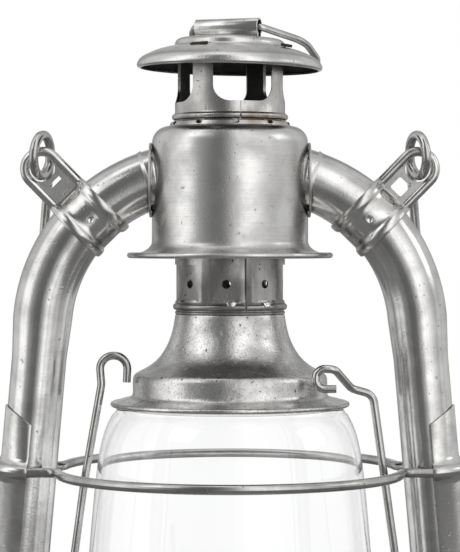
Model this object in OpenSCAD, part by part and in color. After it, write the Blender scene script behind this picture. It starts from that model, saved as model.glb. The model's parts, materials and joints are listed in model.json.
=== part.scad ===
/* [Tank] */
// Radius of the fuel tank
tank_r = 62; // [60:0.5:70]
// Height of the tank's flat top above the table
tank_h = 30; // [27:0.5:36]
// Sheet thickness of the tank and the air chamber
tank_wall = 0.8; // [0.6:0.1:1.2]
// Rounding of the tank's top edge
tank_shoulder = 4; // [2:0.5:6]
// Height of the hollow under the tank bottom
foot_depth = 3; // [2:0.5:5]
// Width of the hem that the tank stands on
hem_w = 3; // [2:0.5:6]

/* [Filler] */
// Radius of the filler neck
filler_r = 8; // [6:0.5:9]
// Clear distance between the filler cap and the air chamber
filler_gap = 2.1; // [1:0.1:3]
// Direction of the filler, from the front towards the left
filler_turn = 45; // [35:1:55]
// Height of the filler neck above the tank
filler_neck_h = 6; // [6:0.5:8]
// Height of the filler cap
filler_cap_h = 7; // [6:0.5:7]

/* [Air chamber and burner] */
// Radius of the air chamber on the tank
chamber_r = 36; // [35:0.5:38]
// Height of the air chamber
chamber_h = 18; // [18:0.5:22]
// Radius of the burner body
burner_r = 13; // [12.5:0.5:15]
// Height of the burner body above the tank
burner_h = 16; // [15:0.5:17]
// Width of the flat wick
wick_w = 14; // [10:0.5:15]
// Thickness of the flat wick
wick_t = 2; // [1.5:0.1:3]
// Radius of the spur wheels that feed the wick
spur_r = 3.8; // [3.2:0.1:4.2]
// Radius of the wick shaft
shaft_r = 1.5; // [1.2:0.1:1.8]
// Radius of the wick knob
knob_r = 8.5; // [7:0.5:9]

/* [Globe] */
// Height of the glass globe
globe_h = 98.6; // [97:0.1:100]
// Largest outer radius of the globe
globe_r = 43.4; // [42:0.1:44.5]
// Outer radius of the globe's lower rim
globe_foot_r = 31; // [29.5:0.5:31.5]
// Outer radius of the globe's upper rim
globe_top_r = 34; // [33:0.1:34.5]
// Thickness of the glass
glass_t = 1.2; // [0.9:0.1:1.6]
// Travel of the globe when the lever is pressed
lift_travel = 14; // [10:0.5:14]

/* [Chimney] */
// Outer radius of the chimney tube
chimney_r = 16.5; // [16:0.1:17]
// Sheet thickness of the chimney, the globe plate and the cap
chimney_wall = 0.9; // [0.7:0.05:1.1]
// Height of the collar's upper edge, where the four legs start
collar_z = 240.1; // [237:0.1:243]
// Width of each chimney leg
leg_w = 6.8; // [5:0.1:9]
// Radius of the cap's rim
cap_r = 27.9; // [25:0.1:32]
// Height of the cap's plateau
cap_z = 258.3; // [258:0.1:260]
// Radius of the rim of the globe top plate
plate_r = 35.9; // [35.2:0.1:37]

/* [Hood] */
// Radius of the hood
hood_r = 23.4; // [23:0.1:25]
// Height of the hood's upper edge
hood_top_z = 232; // [231:0.1:232.4]
// Height of the hood's lower edge
hood_bottom_z = 193.4; // [192:0.1:195]
// Radius of the flared lower edge of the hood
hood_mouth_r = 30.9; // [28:0.1:34]
// Radius of the opening in the hood's top
hood_opening_r = 18.6; // [18.4:0.1:19]
// Sheet thickness of the hood
hood_wall = 0.8; // [0.6:0.1:1]

/* [Side tubes] */
// Outer radius of the side tubes
tube_r = 8.2; // [7.6:0.1:8.4]
// Sheet thickness of the side tubes
tube_wall = 0.7; // [0.5:0.1:1.2]
// Bending radius of the upper arch of the tubes
arch_r = 48; // [47.5:0.1:48.5]
// Distance of the arch's centre from the lantern's axis
arch_x = 8.4; // [8:0.1:9]
// Height of the arch's centre
arch_z = 170.5; // [169.5:0.1:171.5]
// Growth of the tubes' radius from the straight run to the arch
arch_swell = 0.7; // [0.3:0.05:0.9]
// Outward lean of the straight run, in degrees
tube_lean = 5; // [4.6:0.1:5.4]
// Bending radius of the tubes above the tank
foot_bend_r = 20; // [19:0.5:22]

/* [Bail and ears] */
// Direction of the bail ear on the arch, in degrees above level
ear_turn = 45.5; // [44.5:0.25:47]
// Width of the band round the tube
band_w = 13.4; // [12:0.1:14.5]
// Distance from the tube's centre line to the hole in the ear
ear_reach = 20.5; // [20:0.1:22]
// Radius of the hole in the ear
ear_hole_r = 3.9; // [3.7:0.1:4.3]
// Width of metal round the hole in the ear
ear_rim = 2.7; // [2.4:0.05:2.9]
// Radius of the bail wire
bail_wire_r = 1.3; // [1:0.05:1.4]
// Drop of the bail from its hinge
bail_drop = 172; // [165:1:180]
// Radius of the bail's arch
bail_arch_r = 64; // [63:0.5:68]
// Backward lean of the hanging bail, in degrees
bail_lean = 12.5; // [12:0.5:15]

/* [Guard] */
// Height of the guard wire
guard_z = 129; // [126:0.5:134]
// Reach of the guard wire in front and behind
guard_reach = 58; // [56:0.5:62]
// Radius of the guard's front and back arcs
guard_arc_r = 51; // [50:0.5:53]
// Radius of the guard wire
guard_wire_r = 1.45; // [1.2:0.05:1.6]

/* [Globe wires and lift ring] */
// Radius of the globe wires
globe_wire_r = 1.05; // [0.9:0.05:1.2]
// Radius of the lift ring's wire
ring_wire_r = 1.1; // [0.9:0.05:1.3]
// Half width of the lift ring
ring_half_w = 20.5; // [18:0.5:24]
// Reach of the lift ring from the strap
ring_reach = 33; // [32:0.5:36]
// Outer radius of the rolled strap
strap_r = 2.6; // [2.3:0.1:3]
// Length of the rolled strap
strap_l = 20; // [16:0.5:22]

/* [Lever] */
// Swing of the lever, in degrees
lever_swing = 60; // [50:1:64]
// Length of the lever's thumb arm
thumb_arm = 26; // [20:1:30]
// Radius of the lever's wire
lever_wire_r = 1.25; // [1:0.05:1.5]

/* [Hidden] */
$fn = 72;

// Gap between soldered or pressed sheets, a running pin and pieces that move past each other
fit_gap = 0.05;
run_gap = 0.05;
free_gap = 0.3;
// Overlap of shapes that are joined in one piece
weld = 0.2;
// How far a cutting shape reaches past the face that it cuts
past = 1;
// Bends of a wire are drawn a hair thinner than its straight bars, and end a little way inside them
bend_thin = 0.04;
bend_lap = 0.1;

// Tank and filler
tank_opening_r = burner_r + fit_gap;
filler_wall = 0.8;
filler_flange = 1.2;
filler_sink = 2;
thread_gap = 0.3;
seal_t = 1.5;
seal_lap = 2.5;
cap_top_t = 1.2;
cap_skirt_t = 1.2;
skirt_in = filler_r + filler_wall / 2 + thread_gap;
skirt_out = skirt_in + cap_skirt_t;
grip_r = 0.9;
grip_out = 0.5;
filler_reach = chamber_r + filler_gap + skirt_out;
filler_pos = [-filler_reach * sin(filler_turn), -filler_reach * cos(filler_turn)];
filler_top_z = tank_h + filler_neck_h;

// Air chamber
chamber_top_z = tank_h + chamber_h;
chamber_lip = 2.2;
chamber_mouth_r = chamber_r - tank_wall - chamber_lip;
shaft_rise = 11;
shaft_z = tank_h + shaft_rise;
spur_gap = 0.1;
shaft_x = wick_t / 2 + spur_r + spur_gap;
knob_reach = 10;
knob_y = -(chamber_r + knob_reach);
knob_t = 4;
boss_r = 3.2;
boss_l = 2.5;
knob_face_t = 1;

// Burner and wick
wick_gap = 0.3;
wick_tube_wall = 0.4;
wick_hole = [wick_t + 2 * wick_gap, wick_w + 2 * wick_gap];
wick_tube_size = [wick_hole[0] + 2 * wick_tube_wall, wick_hole[1] + 2 * wick_tube_wall];
burner_sink = 8;
burner_flange_w = 4;
burner_flange_t = 1.2;
pocket_half_w = wick_w / 2 + 1;
wick_tube_tail = 2;
wick_show = 2;
spur_teeth = 10;
spur_depth = 1;
spur_t = 1.2;
spur_step = wick_w / 3.5;
wick_rise = 34;
wick_top_z = tank_h + wick_rise;
wick_foot_gap = 8;
wick_bottom_z = foot_depth + tank_wall + wick_foot_gap;

// Globe carrier
carrier_t = 1;
carrier_z = chamber_top_z + free_gap;
carrier_top_z = carrier_z + carrier_t;
carrier_out = 2;
carrier_r = chamber_r + carrier_out;
skirt_r = chamber_mouth_r - free_gap;
skirt_wall = 0.8;
skirt_gap = 1.5;
skirt_end_z = tank_h + skirt_gap;
cone_spread = 9;
cone_r = burner_r + cone_spread;
cone_flange = 2;
cone_wall = 0.8;
cone_foot = 1.5;
cone_slot = [2.4, 3];
carrier_hole_r = cone_r - cone_flange;
cone_top_z = wick_top_z + wick_show;
carrier_holes = 24;
carrier_hole_small_r = 1.2;
seat_h = 3;
seat_t = 0.8;
// Side ears that carry the globe wires
wire_y = -6;
ear_arm = 8;
ear_lap = 3;
ear_plate_x = carrier_r + ear_arm;
ear_plate_t = 1.2;
ear_plate_half_w = 4;
pin_rise = 5.7;
pin_z = carrier_top_z + pin_rise;
pin_end = 2.5;

// Globe
globe_z = carrier_top_z + fit_gap;
globe_top_z = globe_z + globe_h;
globe_rim_h = 4;
globe_shoulder_h = 2.35;
globe_shoulder_w = 1.4;
globe_belly_share = 0.38;
globe_belly_z = globe_z + globe_belly_share * globe_h;

// Globe top plate, from its rim up to the neck
rim_roll_r = 0.75;
rim_rise = 0.6;
plate_rim_z = globe_top_z + free_gap + rim_rise;
step_in = 4.9;
step_r = globe_top_r - step_in;
flange_rise = 1.9;
step_foot_z = plate_rim_z + flange_rise;
step_h = 7.3;
bell_round = 1.5;
bell_edge_z = step_foot_z + step_h;
bell_rise = 17.2;
bell_top_z = bell_edge_z + bell_rise;
spigot_h = 7;

// Chimney tube
chimney_in_r = chimney_r - chimney_wall;
neck_gap = 0.6;
tube_foot_z = bell_top_z + neck_gap;
lower_bead_h = 2.1;
lower_bead_z = tube_foot_z + lower_bead_h;
panel_rise = 3.4;
panel_z = tube_foot_z + panel_rise;
panel_count = 8;
panel_turn = -4;
panel_h = 11;
panel_dent = 0.5;
air_hole_r = 1.4;
air_hole_rise = 5.7;
air_hole_z = panel_z + air_hole_rise;
spring_seat_rise = 3;
spring_seat_z = hood_bottom_z + spring_seat_rise;
spring_seat_gap = 1.3;
spring_seat_r = hood_r - hood_wall - spring_seat_gap;
upper_bead_drop = 5.4;
upper_bead_z = collar_z - upper_bead_drop;
upper_bead_h = 1.8;
bead_out = 0.9;
leg_turn = -29.5;
leg_count = 4;
leg_drop = 2.8;
leg_top_z = cap_z - leg_drop;

// Cap
cap_step_r = chimney_r;
cap_dome_round = 1.6;
cap_foot_rise = 0.3;
cap_foot_w = 1.2;
cap_knee_in = 3.9;
cap_knee_drop = 5.3;
cap_drop = 8.3;
cap_rim_z = cap_z - cap_drop;
cap_roll_r = 1.1;

// Strap and lift ring
strap_wall = 0.7;
strap_x = -0.6;
strap_yaw = -19.5;
strap_tail = 0.8;
strap_z = cap_z + strap_tail + strap_r;
strap_foot = 3;
strap_tail_w = 2 * strap_r + strap_foot;
ring_slope = 20;
ring_roll = 1.5;
ring_play = 0.5;
ring_neck = strap_l / 2 + ring_play;
ring_shoulder = 11;

// Hood
hood_lip = 0.2;
hood_shoulder = hood_r - hood_opening_r + hood_lip;
hood_flare_h = 3.4;
hood_roll_r = 0.85;

// Perforated ring in the hood's opening
lip_side_gap = 0.3;
lip_chimney_gap = 1;
lip_rise = 1.1;
lip_drop = 0.4;
vent_count = 10;
vent_turn = 6;
vent_rise = 2.2;
vent_r = 0.6;
vent_reach = 3;

// Chimney spring
spring_wire_r = 0.6;
spring_r = (chimney_r + hood_r - hood_wall) / 2;
spring_turns = 5;
spring_low_z = spring_seat_z + spring_wire_r + fit_gap;
spring_drop = 7.2;
spring_high_z = hood_top_z - spring_drop;
ring_plate_z = spring_high_z + spring_wire_r + fit_gap;

// Side tube path, right side
tube_run_z = tank_h + tube_r + free_gap;
arch_end = [arch_x + arch_r * cos(tube_lean), arch_z + arch_r * sin(tube_lean)];
bend_top_z = tube_run_z + foot_bend_r * (1 + sin(tube_lean));
run_l = (arch_end[1] - bend_top_z) / cos(tube_lean);
bend_x = arch_end[0] + run_l * sin(tube_lean) - foot_bend_r * cos(tube_lean);
bend_z = tube_run_z + foot_bend_r;
arch_begin = acos((hood_opening_r - arch_x) / arch_r);
arch_tube_r = tube_r + arch_swell;
swell_l = 12;
swell_lap = 2;
function tube_x(z) = arch_end[0] + (arch_end[1] - z) * tan(tube_lean);

// Tube collars and sleeves
collar_flange_w = 2.4;
collar_t = 0.9;
collar_x = hood_r + fit_gap;
collar_turn = acos((collar_x + collar_t / 2 - arch_x) / arch_r);
collar_neck_l = 3;
collar_neck_t = 0.8;
sleeve_t = 0.6;
sleeve_above = 19;
sleeve_below = 61;
sleeve_top_z = guard_z + sleeve_above;
sleeve_low_z = guard_z - sleeve_below;
sleeve_slant = 5;
bead_wall = 0.65;

// Ear bands and bail
band_t = 0.7;
rib_w = 2.7;
rib_out = 0.7;
rib_edge = 0.35;
ear_t = 1.4;
ear_edge_w = 2.4;
ear_edge_t = 2.6;
ear_head_r = ear_hole_r + ear_rim;
ear_centre = arch_r + ear_reach;
ear_slot_gap = 0.9;
ear_slot_size = [4.6, 4.8];
ear_slit_size = [1.2, 4.2];
ear_slit_gap = 4.6;
ear_x = arch_x + ear_centre * cos(ear_turn);
bail_z = arch_z + ear_centre * sin(ear_turn) + ear_hole_r + ear_rim / 2;
bail_eye_r = 6.1;
bail_yaw = 20;
bail_eye_turn = 322;
bail_lap = 0.2;
bail_leg_x = ear_x - bail_eye_r * sin(bail_yaw);
bail_leg_y = bail_eye_r * cos(bail_yaw);
bail_centre_drop = bail_drop - bail_arch_r;
// The eye hangs on the lower edge of the hole in the ear
bail_seat = 1.3;
bail_leg_drop = bail_centre_drop - bail_seat;
bail_tangent = atan2(bail_leg_drop, bail_leg_x)
    - acos(bail_arch_r / norm([bail_leg_x, bail_leg_drop]));

// Guard
guard_side_r = tube_r + free_gap + guard_wire_r;
guard_fillet = 4;
guard_arc_y = guard_reach - guard_arc_r;
guard_fillet_y = guard_side_r + guard_fillet;
guard_fillet_x = sqrt(pow(guard_arc_r + guard_fillet, 2) - pow(guard_fillet_y - guard_arc_y, 2));
guard_arc_turn = atan2(guard_fillet_y - guard_arc_y, guard_fillet_x);
guard_joint_turn = 0.3;

// Lever and its bracket
lever_arm = lift_travel / (2 * sin(lever_swing / 2));
lever_y = -17;
lug_x = chamber_r;
lug_half_w = 3;
lug_end = 0.3;
lug_l = 8;
lug_gap = 0.5;
lever_tip_z = carrier_z - lever_wire_r - lug_gap;
lever_x = lug_x + lever_arm * cos(lever_swing / 2);
lever_z = lever_tip_z + lift_travel / 2;
bracket_t = 1.6;
lever_bend = 2.5;
bracket_gap = 3;
bracket_y = lever_y - lever_wire_r - bracket_gap;
bracket_half_w = 3.6;
bracket_foot_w = 6;
rivet_r = 1.1;
rivet_head_r = rivet_r + 0.5;
rivet_head_t = 0.7;
rivet_tail_t = 0.6;
tip_past = 0.3;
thumb_r = 5;
thumb_t = 2 * lever_wire_r + 0.6;

// Points of an arc about c, from angle a to angle b
function arc(c, r, a, b, n = 8) = oval(c, [r, r], a, b, n);
// Points of an elliptic arc with half axes s
function oval(c, s, a, b, n = 10) =
    [for (i = [0:n]) c + [s[0] * cos(a + (b - a) * i / n), s[1] * sin(a + (b - a) * i / n)]];
function unit(v) = v / norm(v);
function reverse(list) = [for (i = [len(list) - 1:-1:0]) list[i]];
// Direction across a line of points, to the right of the way it runs
function across(p, i) =
    let (t = unit(p[min(i + 1, len(p) - 1)] - p[max(i - 1, 0)])) [t[1], -t[0]];
function beside(p, w) = [for (i = [0:len(p) - 1]) p[i] + w * across(p, i)];
// Direction that an azimuth from the front points to
function heading(a) = a - 90;

// Sheet turned about the Z axis: the outer line of radius and height, and its thickness to the right
module turned_sheet(line, wall) {
    rotate_extrude() polygon(concat(line, reverse(beside(line, wall))));
}

// Ring turned from a rectangle of two radii and two heights
module turned_ring(r1, r2, z1, z2) {
    translate([0, 0, z1]) difference() {
        cylinder(r = r2, h = z2 - z1);
        translate([0, 0, -past]) cylinder(r = r1, h = z2 - z1 + 2 * past);
    }
}

// Rolled edge of radius r about the Z axis
module rolled_edge(at_r, at_z, r) {
    translate([0, 0, at_z]) rotate_extrude() translate([at_r, 0]) circle(r, $fn = 24);
}

// Round bar between two points
module rod(p, q, r) {
    d = q - p;
    translate(p) rotate([0, acos(d[2] / norm(d)), atan2(d[1], d[0])]) cylinder(r = r, h = norm(d), $fn = 32);
}

// Length that a rounded corner takes from each of its two bars
function corner_cut(a, b, c, bend) = bend / tan(acos(unit(a - b) * unit(c - b)) / 2);

// Rounded corner of a wire at b, between the bars to a and to c
module corner(a, b, c, bend, r) {
    u = unit(a - b);
    w = unit(c - b);
    opening = acos(u * w);
    centre = b + unit(u + w) * bend / sin(opening / 2);
    x = unit(b + u * corner_cut(a, b, c, bend) - centre);
    y = -u;
    z = cross(x, y);
    multmatrix([
        [x[0], y[0], z[0], centre[0]],
        [x[1], y[1], z[1], centre[1]],
        [x[2], y[2], z[2], centre[2]],
        [0, 0, 0, 1]
    ]) wire_arc(bend, 0, 180 - opening, r);
}

// Straight bars between points, each cut back for the corners at its ends
module bars(points, cuts, r) {
    for (i = [0:len(points) - 2]) {
        d = unit(points[i + 1] - points[i]);
        from = cuts[i] > 0 ? cuts[i] - bend_lap : 0;
        to = cuts[i + 1] > 0 ? cuts[i + 1] - bend_lap : 0;
        rod(points[i] + d * from, points[i + 1] - d * to, r);
    }
}

// Open wire through points, with a bending radius for each inner point
module wire(points, bends, r) {
    last = len(points) - 1;
    cuts = [for (i = [0:last]) (i == 0 || i == last) ? 0
        : corner_cut(points[i - 1], points[i], points[i + 1], bends[i - 1])];
    bars(points, cuts, r);
    for (i = [1:last - 1]) corner(points[i - 1], points[i], points[i + 1], bends[i - 1], r);
}

// Closed wire through points, with a bending radius for each point
module closed_wire(points, bends, r) {
    n = len(points);
    cuts = [for (i = [0:n - 1])
        corner_cut(points[(i + n - 1) % n], points[i], points[(i + 1) % n], bends[i])];
    bars(concat(points, [points[0]]), concat(cuts, [cuts[0]]), r);
    for (i = [0:n - 1]) corner(points[(i + n - 1) % n], points[i], points[(i + 1) % n], bends[i], r);
}

// Bend of a wire about the Z axis, from angle a to angle b
module wire_arc(at_r, a, b, r) {
    rotate(a) rotate_extrude(angle = b - a) translate([at_r, 0]) circle(r - bend_thin, $fn = 32);
}

// Outline of a wall of a round tube
module tube_outline(r1, r2) {
    difference() {
        circle(r2);
        if (r1 > 0) circle(r1);
    }
}

// Turns local X into the direction at angle a on the right tube's arch
module on_arch(a) {
    translate([arch_x, 0, arch_z]) rotate([0, -a, 0]) children();
}

// Part of the arch between two angles, with inner and outer radius
module arch_part(a, b, r1, r2) {
    on_arch(a) rotate([90, 0, 0]) rotate_extrude(angle = b - a) translate([arch_r, 0]) tube_outline(r1, r2);
}

// Straight part of the right tube, a length along it from the arch's end
module run_part(from, to, r1, r2) {
    translate([arch_end[0], 0, arch_end[1]]) rotate([0, 180 - tube_lean, 0]) translate([0, 0, from])
        linear_extrude(to - from) tube_outline(r1, r2);
}

// Whole right tube as a solid bar of radius r, longer by extra at both ends
module tube_path(r, extra = 0) {
    inner_x = skirt_r - extra;
    arch_part(tube_lean, arch_begin + extra, 0, r + arch_swell - bend_thin);
    translate([arch_end[0], 0, arch_end[1]]) rotate([0, 180 - tube_lean, 0]) translate([0, 0, -bend_lap])
        cylinder(r1 = r + arch_swell, r2 = r - bend_thin, h = swell_l);
    run_part(swell_l - swell_lap, run_l + bend_lap, 0, r);
    translate([bend_x, 0, bend_z]) rotate([90, 0, 0]) rotate(-90)
        rotate_extrude(angle = 90 + tube_lean) translate([foot_bend_r, 0]) circle(r - bend_thin);
    translate([inner_x, 0, tube_run_z]) rotate([0, 90, 0]) cylinder(r = r, h = bend_x + bend_lap - inner_x);
}

module on_left() {
    mirror([1, 0, 0]) children();
}

module tank_shell() {
    line = concat(
        [[tank_opening_r, tank_h]],
        arc([tank_r - tank_shoulder, tank_h - tank_shoulder], tank_shoulder, 90, 0),
        [[tank_r, 0]]
    );
    color("silver") difference() {
        union() {
            turned_sheet(line, tank_wall);
            turned_ring(tank_r - hem_w, tank_r - weld, 0, tank_wall);
        }
        translate([filler_pos[0], filler_pos[1], tank_h - tank_shoulder])
            cylinder(r = filler_r + fit_gap, h = tank_shoulder + past);
        for (p = rivet_spots) translate([p[0], p[1], tank_h - tank_shoulder]) {
            cylinder(r = rivet_r + fit_gap, h = tank_shoulder + past);
            cylinder(r = rivet_head_r + fit_gap, h = tank_shoulder - tank_wall - fit_gap);
        }
    }
}

module tank_bottom() {
    edge_r = tank_r - tank_wall - fit_gap;
    line = [
        [0, foot_depth + tank_wall],
        [edge_r - hem_w - foot_depth, foot_depth + tank_wall],
        [edge_r - hem_w + 1, 2 * tank_wall + fit_gap],
        [edge_r, 2 * tank_wall + fit_gap]
    ];
    below = [for (p = reverse(line)) p - [0, tank_wall]];
    color("silver") rotate_extrude() polygon(concat(line, below));
}

module filler_neck() {
    color("silver") translate([filler_pos[0], filler_pos[1], 0]) union() {
        turned_ring(filler_r - filler_wall, filler_r, tank_h - filler_sink, filler_top_z);
        turned_ring(filler_r - filler_wall, filler_r + filler_flange,
            tank_h + fit_gap, tank_h + fit_gap + tank_wall);
    }
}

module filler_seal() {
    color("black") translate([filler_pos[0], filler_pos[1], 0])
        turned_ring(filler_r - seal_lap, filler_r + filler_wall / 2,
            filler_top_z + fit_gap, filler_top_z + fit_gap + seal_t);
}

module filler_cap() {
    top_z = filler_top_z + fit_gap + seal_t + fit_gap + cap_top_t;
    grips = 16;
    color("silver") translate([filler_pos[0], filler_pos[1], top_z - filler_cap_h]) difference() {
        cylinder(r = skirt_out, h = filler_cap_h);
        translate([0, 0, -past]) cylinder(r = skirt_in, h = filler_cap_h - cap_top_t + past);
        for (i = [0:grips - 1]) rotate(i * 360 / grips)
            translate([skirt_out + grip_out, 0, -past])
                cylinder(r = grip_r, h = filler_cap_h + 2 * past, $fn = 24);
    }
}

module air_chamber() {
    color("silver") difference() {
        rotate_extrude() polygon([
            [chamber_mouth_r, chamber_top_z], [chamber_r, chamber_top_z], [chamber_r, tank_h],
            [chamber_r - tank_wall, tank_h], [chamber_r - tank_wall, chamber_top_z - tank_wall],
            [chamber_mouth_r, chamber_top_z - tank_wall]
        ]);
        translate([-bend_x, 0, tube_run_z]) rotate([0, 90, 0]) cylinder(r = tube_r + fit_gap, h = 2 * bend_x);
        translate([shaft_x, 0, shaft_z]) rotate([90, 0, 0])
            cylinder(r = shaft_r + run_gap, h = chamber_r + past);
    }
}

module burner_body() {
    color("peru") difference() {
        union() {
            translate([0, 0, tank_h - burner_sink]) cylinder(r = burner_r, h = burner_sink + burner_h);
            translate([0, 0, tank_h]) cylinder(r = burner_r + burner_flange_w, h = burner_flange_t);
        }
        translate([0, 0, tank_h]) cube(
            [wick_tube_size[0] + 2 * fit_gap, wick_tube_size[1] + 2 * fit_gap, 4 * burner_h], center = true);
        translate([0, -pocket_half_w, shaft_z - spur_r - past])
            cube([burner_r + past, 2 * pocket_half_w, 2 * spur_r + 2 * past]);
        translate([shaft_x, burner_r, shaft_z]) rotate([90, 0, 0])
            cylinder(r = shaft_r + run_gap, h = 2 * burner_r);
    }
}

module wick_tube() {
    z1 = tank_h - burner_sink - wick_tube_tail;
    height = wick_top_z - wick_show - z1;
    color("peru") translate([0, 0, z1]) difference() {
        translate([-wick_tube_size[0] / 2, -wick_tube_size[1] / 2, 0])
            cube([wick_tube_size[0], wick_tube_size[1], height]);
        translate([-wick_hole[0] / 2, -wick_hole[1] / 2, -past])
            cube([wick_hole[0], wick_hole[1], height + 2 * past]);
        translate([0, -wick_hole[1] / 2, shaft_z - spur_r - z1])
            cube([wick_tube_size[0], wick_hole[1], 2 * spur_r]);
    }
}

module wick() {
    color("ivory") translate([-wick_t / 2, -wick_w / 2, wick_bottom_z])
        cube([wick_t, wick_w, wick_top_z - wick_bottom_z]);
}

// Outline of a spur wheel that grips the wick
module spur_outline() {
    polygon([for (i = [0:2 * spur_teeth - 1])
        let (a = i * 180 / spur_teeth, r = i % 2 == 0 ? spur_r : spur_r - spur_depth) r * [cos(a), sin(a)]]);
}

module wick_shaft() {
    color("gray") translate([shaft_x, 0, shaft_z]) rotate([90, 0, 0]) union() {
        translate([0, 0, -burner_r])
            cylinder(r = shaft_r, h = burner_r - knob_y - knob_face_t - fit_gap);
        for (i = [-1:1]) translate([0, 0, i * spur_step - spur_t / 2]) linear_extrude(spur_t) spur_outline();
    }
}

module wick_knob() {
    grips = 20;
    color("silver") translate([shaft_x, knob_y + knob_t, shaft_z]) rotate([90, 0, 0]) difference() {
        union() {
            cylinder(r = knob_r, h = knob_t);
            translate([0, 0, -boss_l]) cylinder(r = boss_r, h = boss_l + weld);
        }
        translate([0, 0, -boss_l - past])
            cylinder(r = shaft_r + fit_gap, h = boss_l + past + knob_t - knob_face_t);
        for (i = [0:grips - 1]) rotate(i * 360 / grips) translate([knob_r + grip_out, 0, -past])
            cylinder(r = grip_r, h = knob_t + 2 * past, $fn = 24);
    }
}

// Arm and upright ear of the globe carrier on the right side
module carrier_ear() {
    translate([carrier_r - ear_lap, wire_y - ear_plate_half_w, carrier_z])
        cube([ear_plate_x - carrier_r + ear_lap, 2 * ear_plate_half_w, carrier_t]);
    difference() {
        union() {
            translate([ear_plate_x - ear_plate_t, wire_y - ear_plate_half_w, carrier_z])
                cube([ear_plate_t, 2 * ear_plate_half_w, pin_z - carrier_z]);
            translate([ear_plate_x - ear_plate_t, wire_y, pin_z]) rotate([0, 90, 0])
                cylinder(r = ear_plate_half_w, h = ear_plate_t);
        }
        translate([ear_plate_x - ear_plate_t - past, wire_y, pin_z]) rotate([0, 90, 0])
            cylinder(r = globe_wire_r + run_gap, h = ear_plate_t + 2 * past);
    }
}

module globe_carrier() {
    color("silver") difference() {
        union() {
            turned_ring(carrier_hole_r, carrier_r, carrier_z, carrier_top_z);
            turned_ring(skirt_r - skirt_wall, skirt_r, skirt_end_z, carrier_z + weld);
            turned_ring(globe_foot_r + free_gap, globe_foot_r + free_gap + seat_t,
                carrier_top_z - weld, carrier_top_z + seat_h);
            carrier_ear();
            on_left() carrier_ear();
            translate([lug_x - lug_l, lever_y - lug_half_w, carrier_z])
                cube([lug_l + lug_end, 2 * lug_half_w, carrier_t]);
        }
        translate([shaft_x - shaft_r - free_gap, -chamber_r, skirt_end_z - past])
            cube([2 * shaft_r + 2 * free_gap, chamber_r, shaft_z + shaft_r + free_gap - skirt_end_z + past]);
        for (i = [0:carrier_holes - 1]) rotate(i * 360 / carrier_holes)
            translate([(cone_r + cone_flange + globe_foot_r - glass_t) / 2, 0, carrier_z - past])
                cylinder(r = carrier_hole_small_r, h = carrier_t + 2 * past, $fn = 24);
    }
}

module burner_cone() {
    foot_z = carrier_top_z + fit_gap;
    rise = cone_top_z - foot_z;
    line = concat(
        [[0, cone_top_z], [cone_r / 20, cone_top_z]],
        oval([0, foot_z + cone_foot], [cone_r, rise - cone_foot], 84, 0),
        [[cone_r, foot_z + cone_wall]]
    );
    color("silver") difference() {
        union() {
            turned_sheet(line, cone_wall);
            turned_ring(cone_r - cone_wall, cone_r + cone_flange, foot_z, foot_z + cone_wall);
        }
        translate([-(wick_tube_size[0] + cone_slot[0]) / 2, -(wick_tube_size[1] + cone_slot[1]) / 2,
            foot_z + rise / 2])
            cube([wick_tube_size[0] + cone_slot[0], wick_tube_size[1] + cone_slot[1], rise]);
    }
}

// The glass swells from its foot, and draws in again to a short shoulder under its upper rim
module globe() {
    shoulder_z = globe_top_z - globe_shoulder_h;
    foot_neck_z = globe_z + globe_rim_h;
    draw_in = globe_r - globe_top_r - globe_shoulder_w;
    steps = 12;
    upper = [for (i = [0:steps]) let (u = 1 - i / steps) [
        globe_r - draw_in * (0.62 * pow(u, 1.25) + 0.38 * pow(u, 10)),
        globe_belly_z + (shoulder_z - globe_belly_z) * u
    ]];
    lower = [for (i = [1:steps]) let (t = i / steps) [
        globe_r - (globe_r - globe_foot_r) * pow(t, 2.2),
        globe_belly_z + (foot_neck_z - globe_belly_z) * t
    ]];
    line = concat([[globe_top_r, globe_top_z]], upper, lower, [[globe_foot_r, globe_z]]);
    color("white", 0.3) turned_sheet(line, glass_t);
}

// Hooked wire: from its pin in the ear up beside the glass and over the plate's rim
module left_globe_wire() {
    pin_x = ear_plate_x - ear_plate_t - pin_end;
    elbow_out = 7.1;
    waist_rise = 71;
    stem_gap = 2.4;
    stem_rise = 6.1;
    hook_gap = 3.1;
    hook_rise = 14.7;
    tip_gap = 1.3;
    tip_lean = 0.35;
    tip_rise = 6.75;
    points = [
        [pin_x, wire_y, pin_z],
        [ear_plate_x + elbow_out, wire_y, pin_z],
        [globe_r, wire_y, pin_z + waist_rise],
        [plate_r + stem_gap, wire_y, plate_rim_z + stem_rise],
        [plate_r + hook_gap, wire_y, plate_rim_z + hook_rise],
        [step_r + tip_gap, wire_y, plate_rim_z + hook_rise],
        [step_r + tip_gap + tip_lean, wire_y, plate_rim_z + tip_rise]
    ];
    color("silver") on_left() wire(points, [3, 30, 4, 3.9, 3.9], globe_wire_r);
}

// Looped wire: its end is curled to an eye over the front of the plate's rim
module right_globe_wire() {
    pin_x = ear_plate_x - ear_plate_t - pin_end;
    elbow_out = 10;
    eye_y = -(step_r - 8.6);
    points = [
        [pin_x, wire_y, pin_z],
        [ear_plate_x + elbow_out, wire_y, pin_z],
        [plate_r + 6.3, -12, plate_rim_z + 3.5],
        [plate_r - 0.1, -14, plate_rim_z + 5.35],
        [step_r + 1.4, eye_y, plate_rim_z + 10.75],
        [step_r - 5.1, eye_y, plate_rim_z + 14.35],
        [step_r - 6.5, eye_y, plate_rim_z + 5.05],
        [step_r + 1.7, eye_y, plate_rim_z + 5.15]
    ];
    color("silver") wire(points, [3, 4, 4, 4, 2.8, 2.8], globe_wire_r);
}

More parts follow.
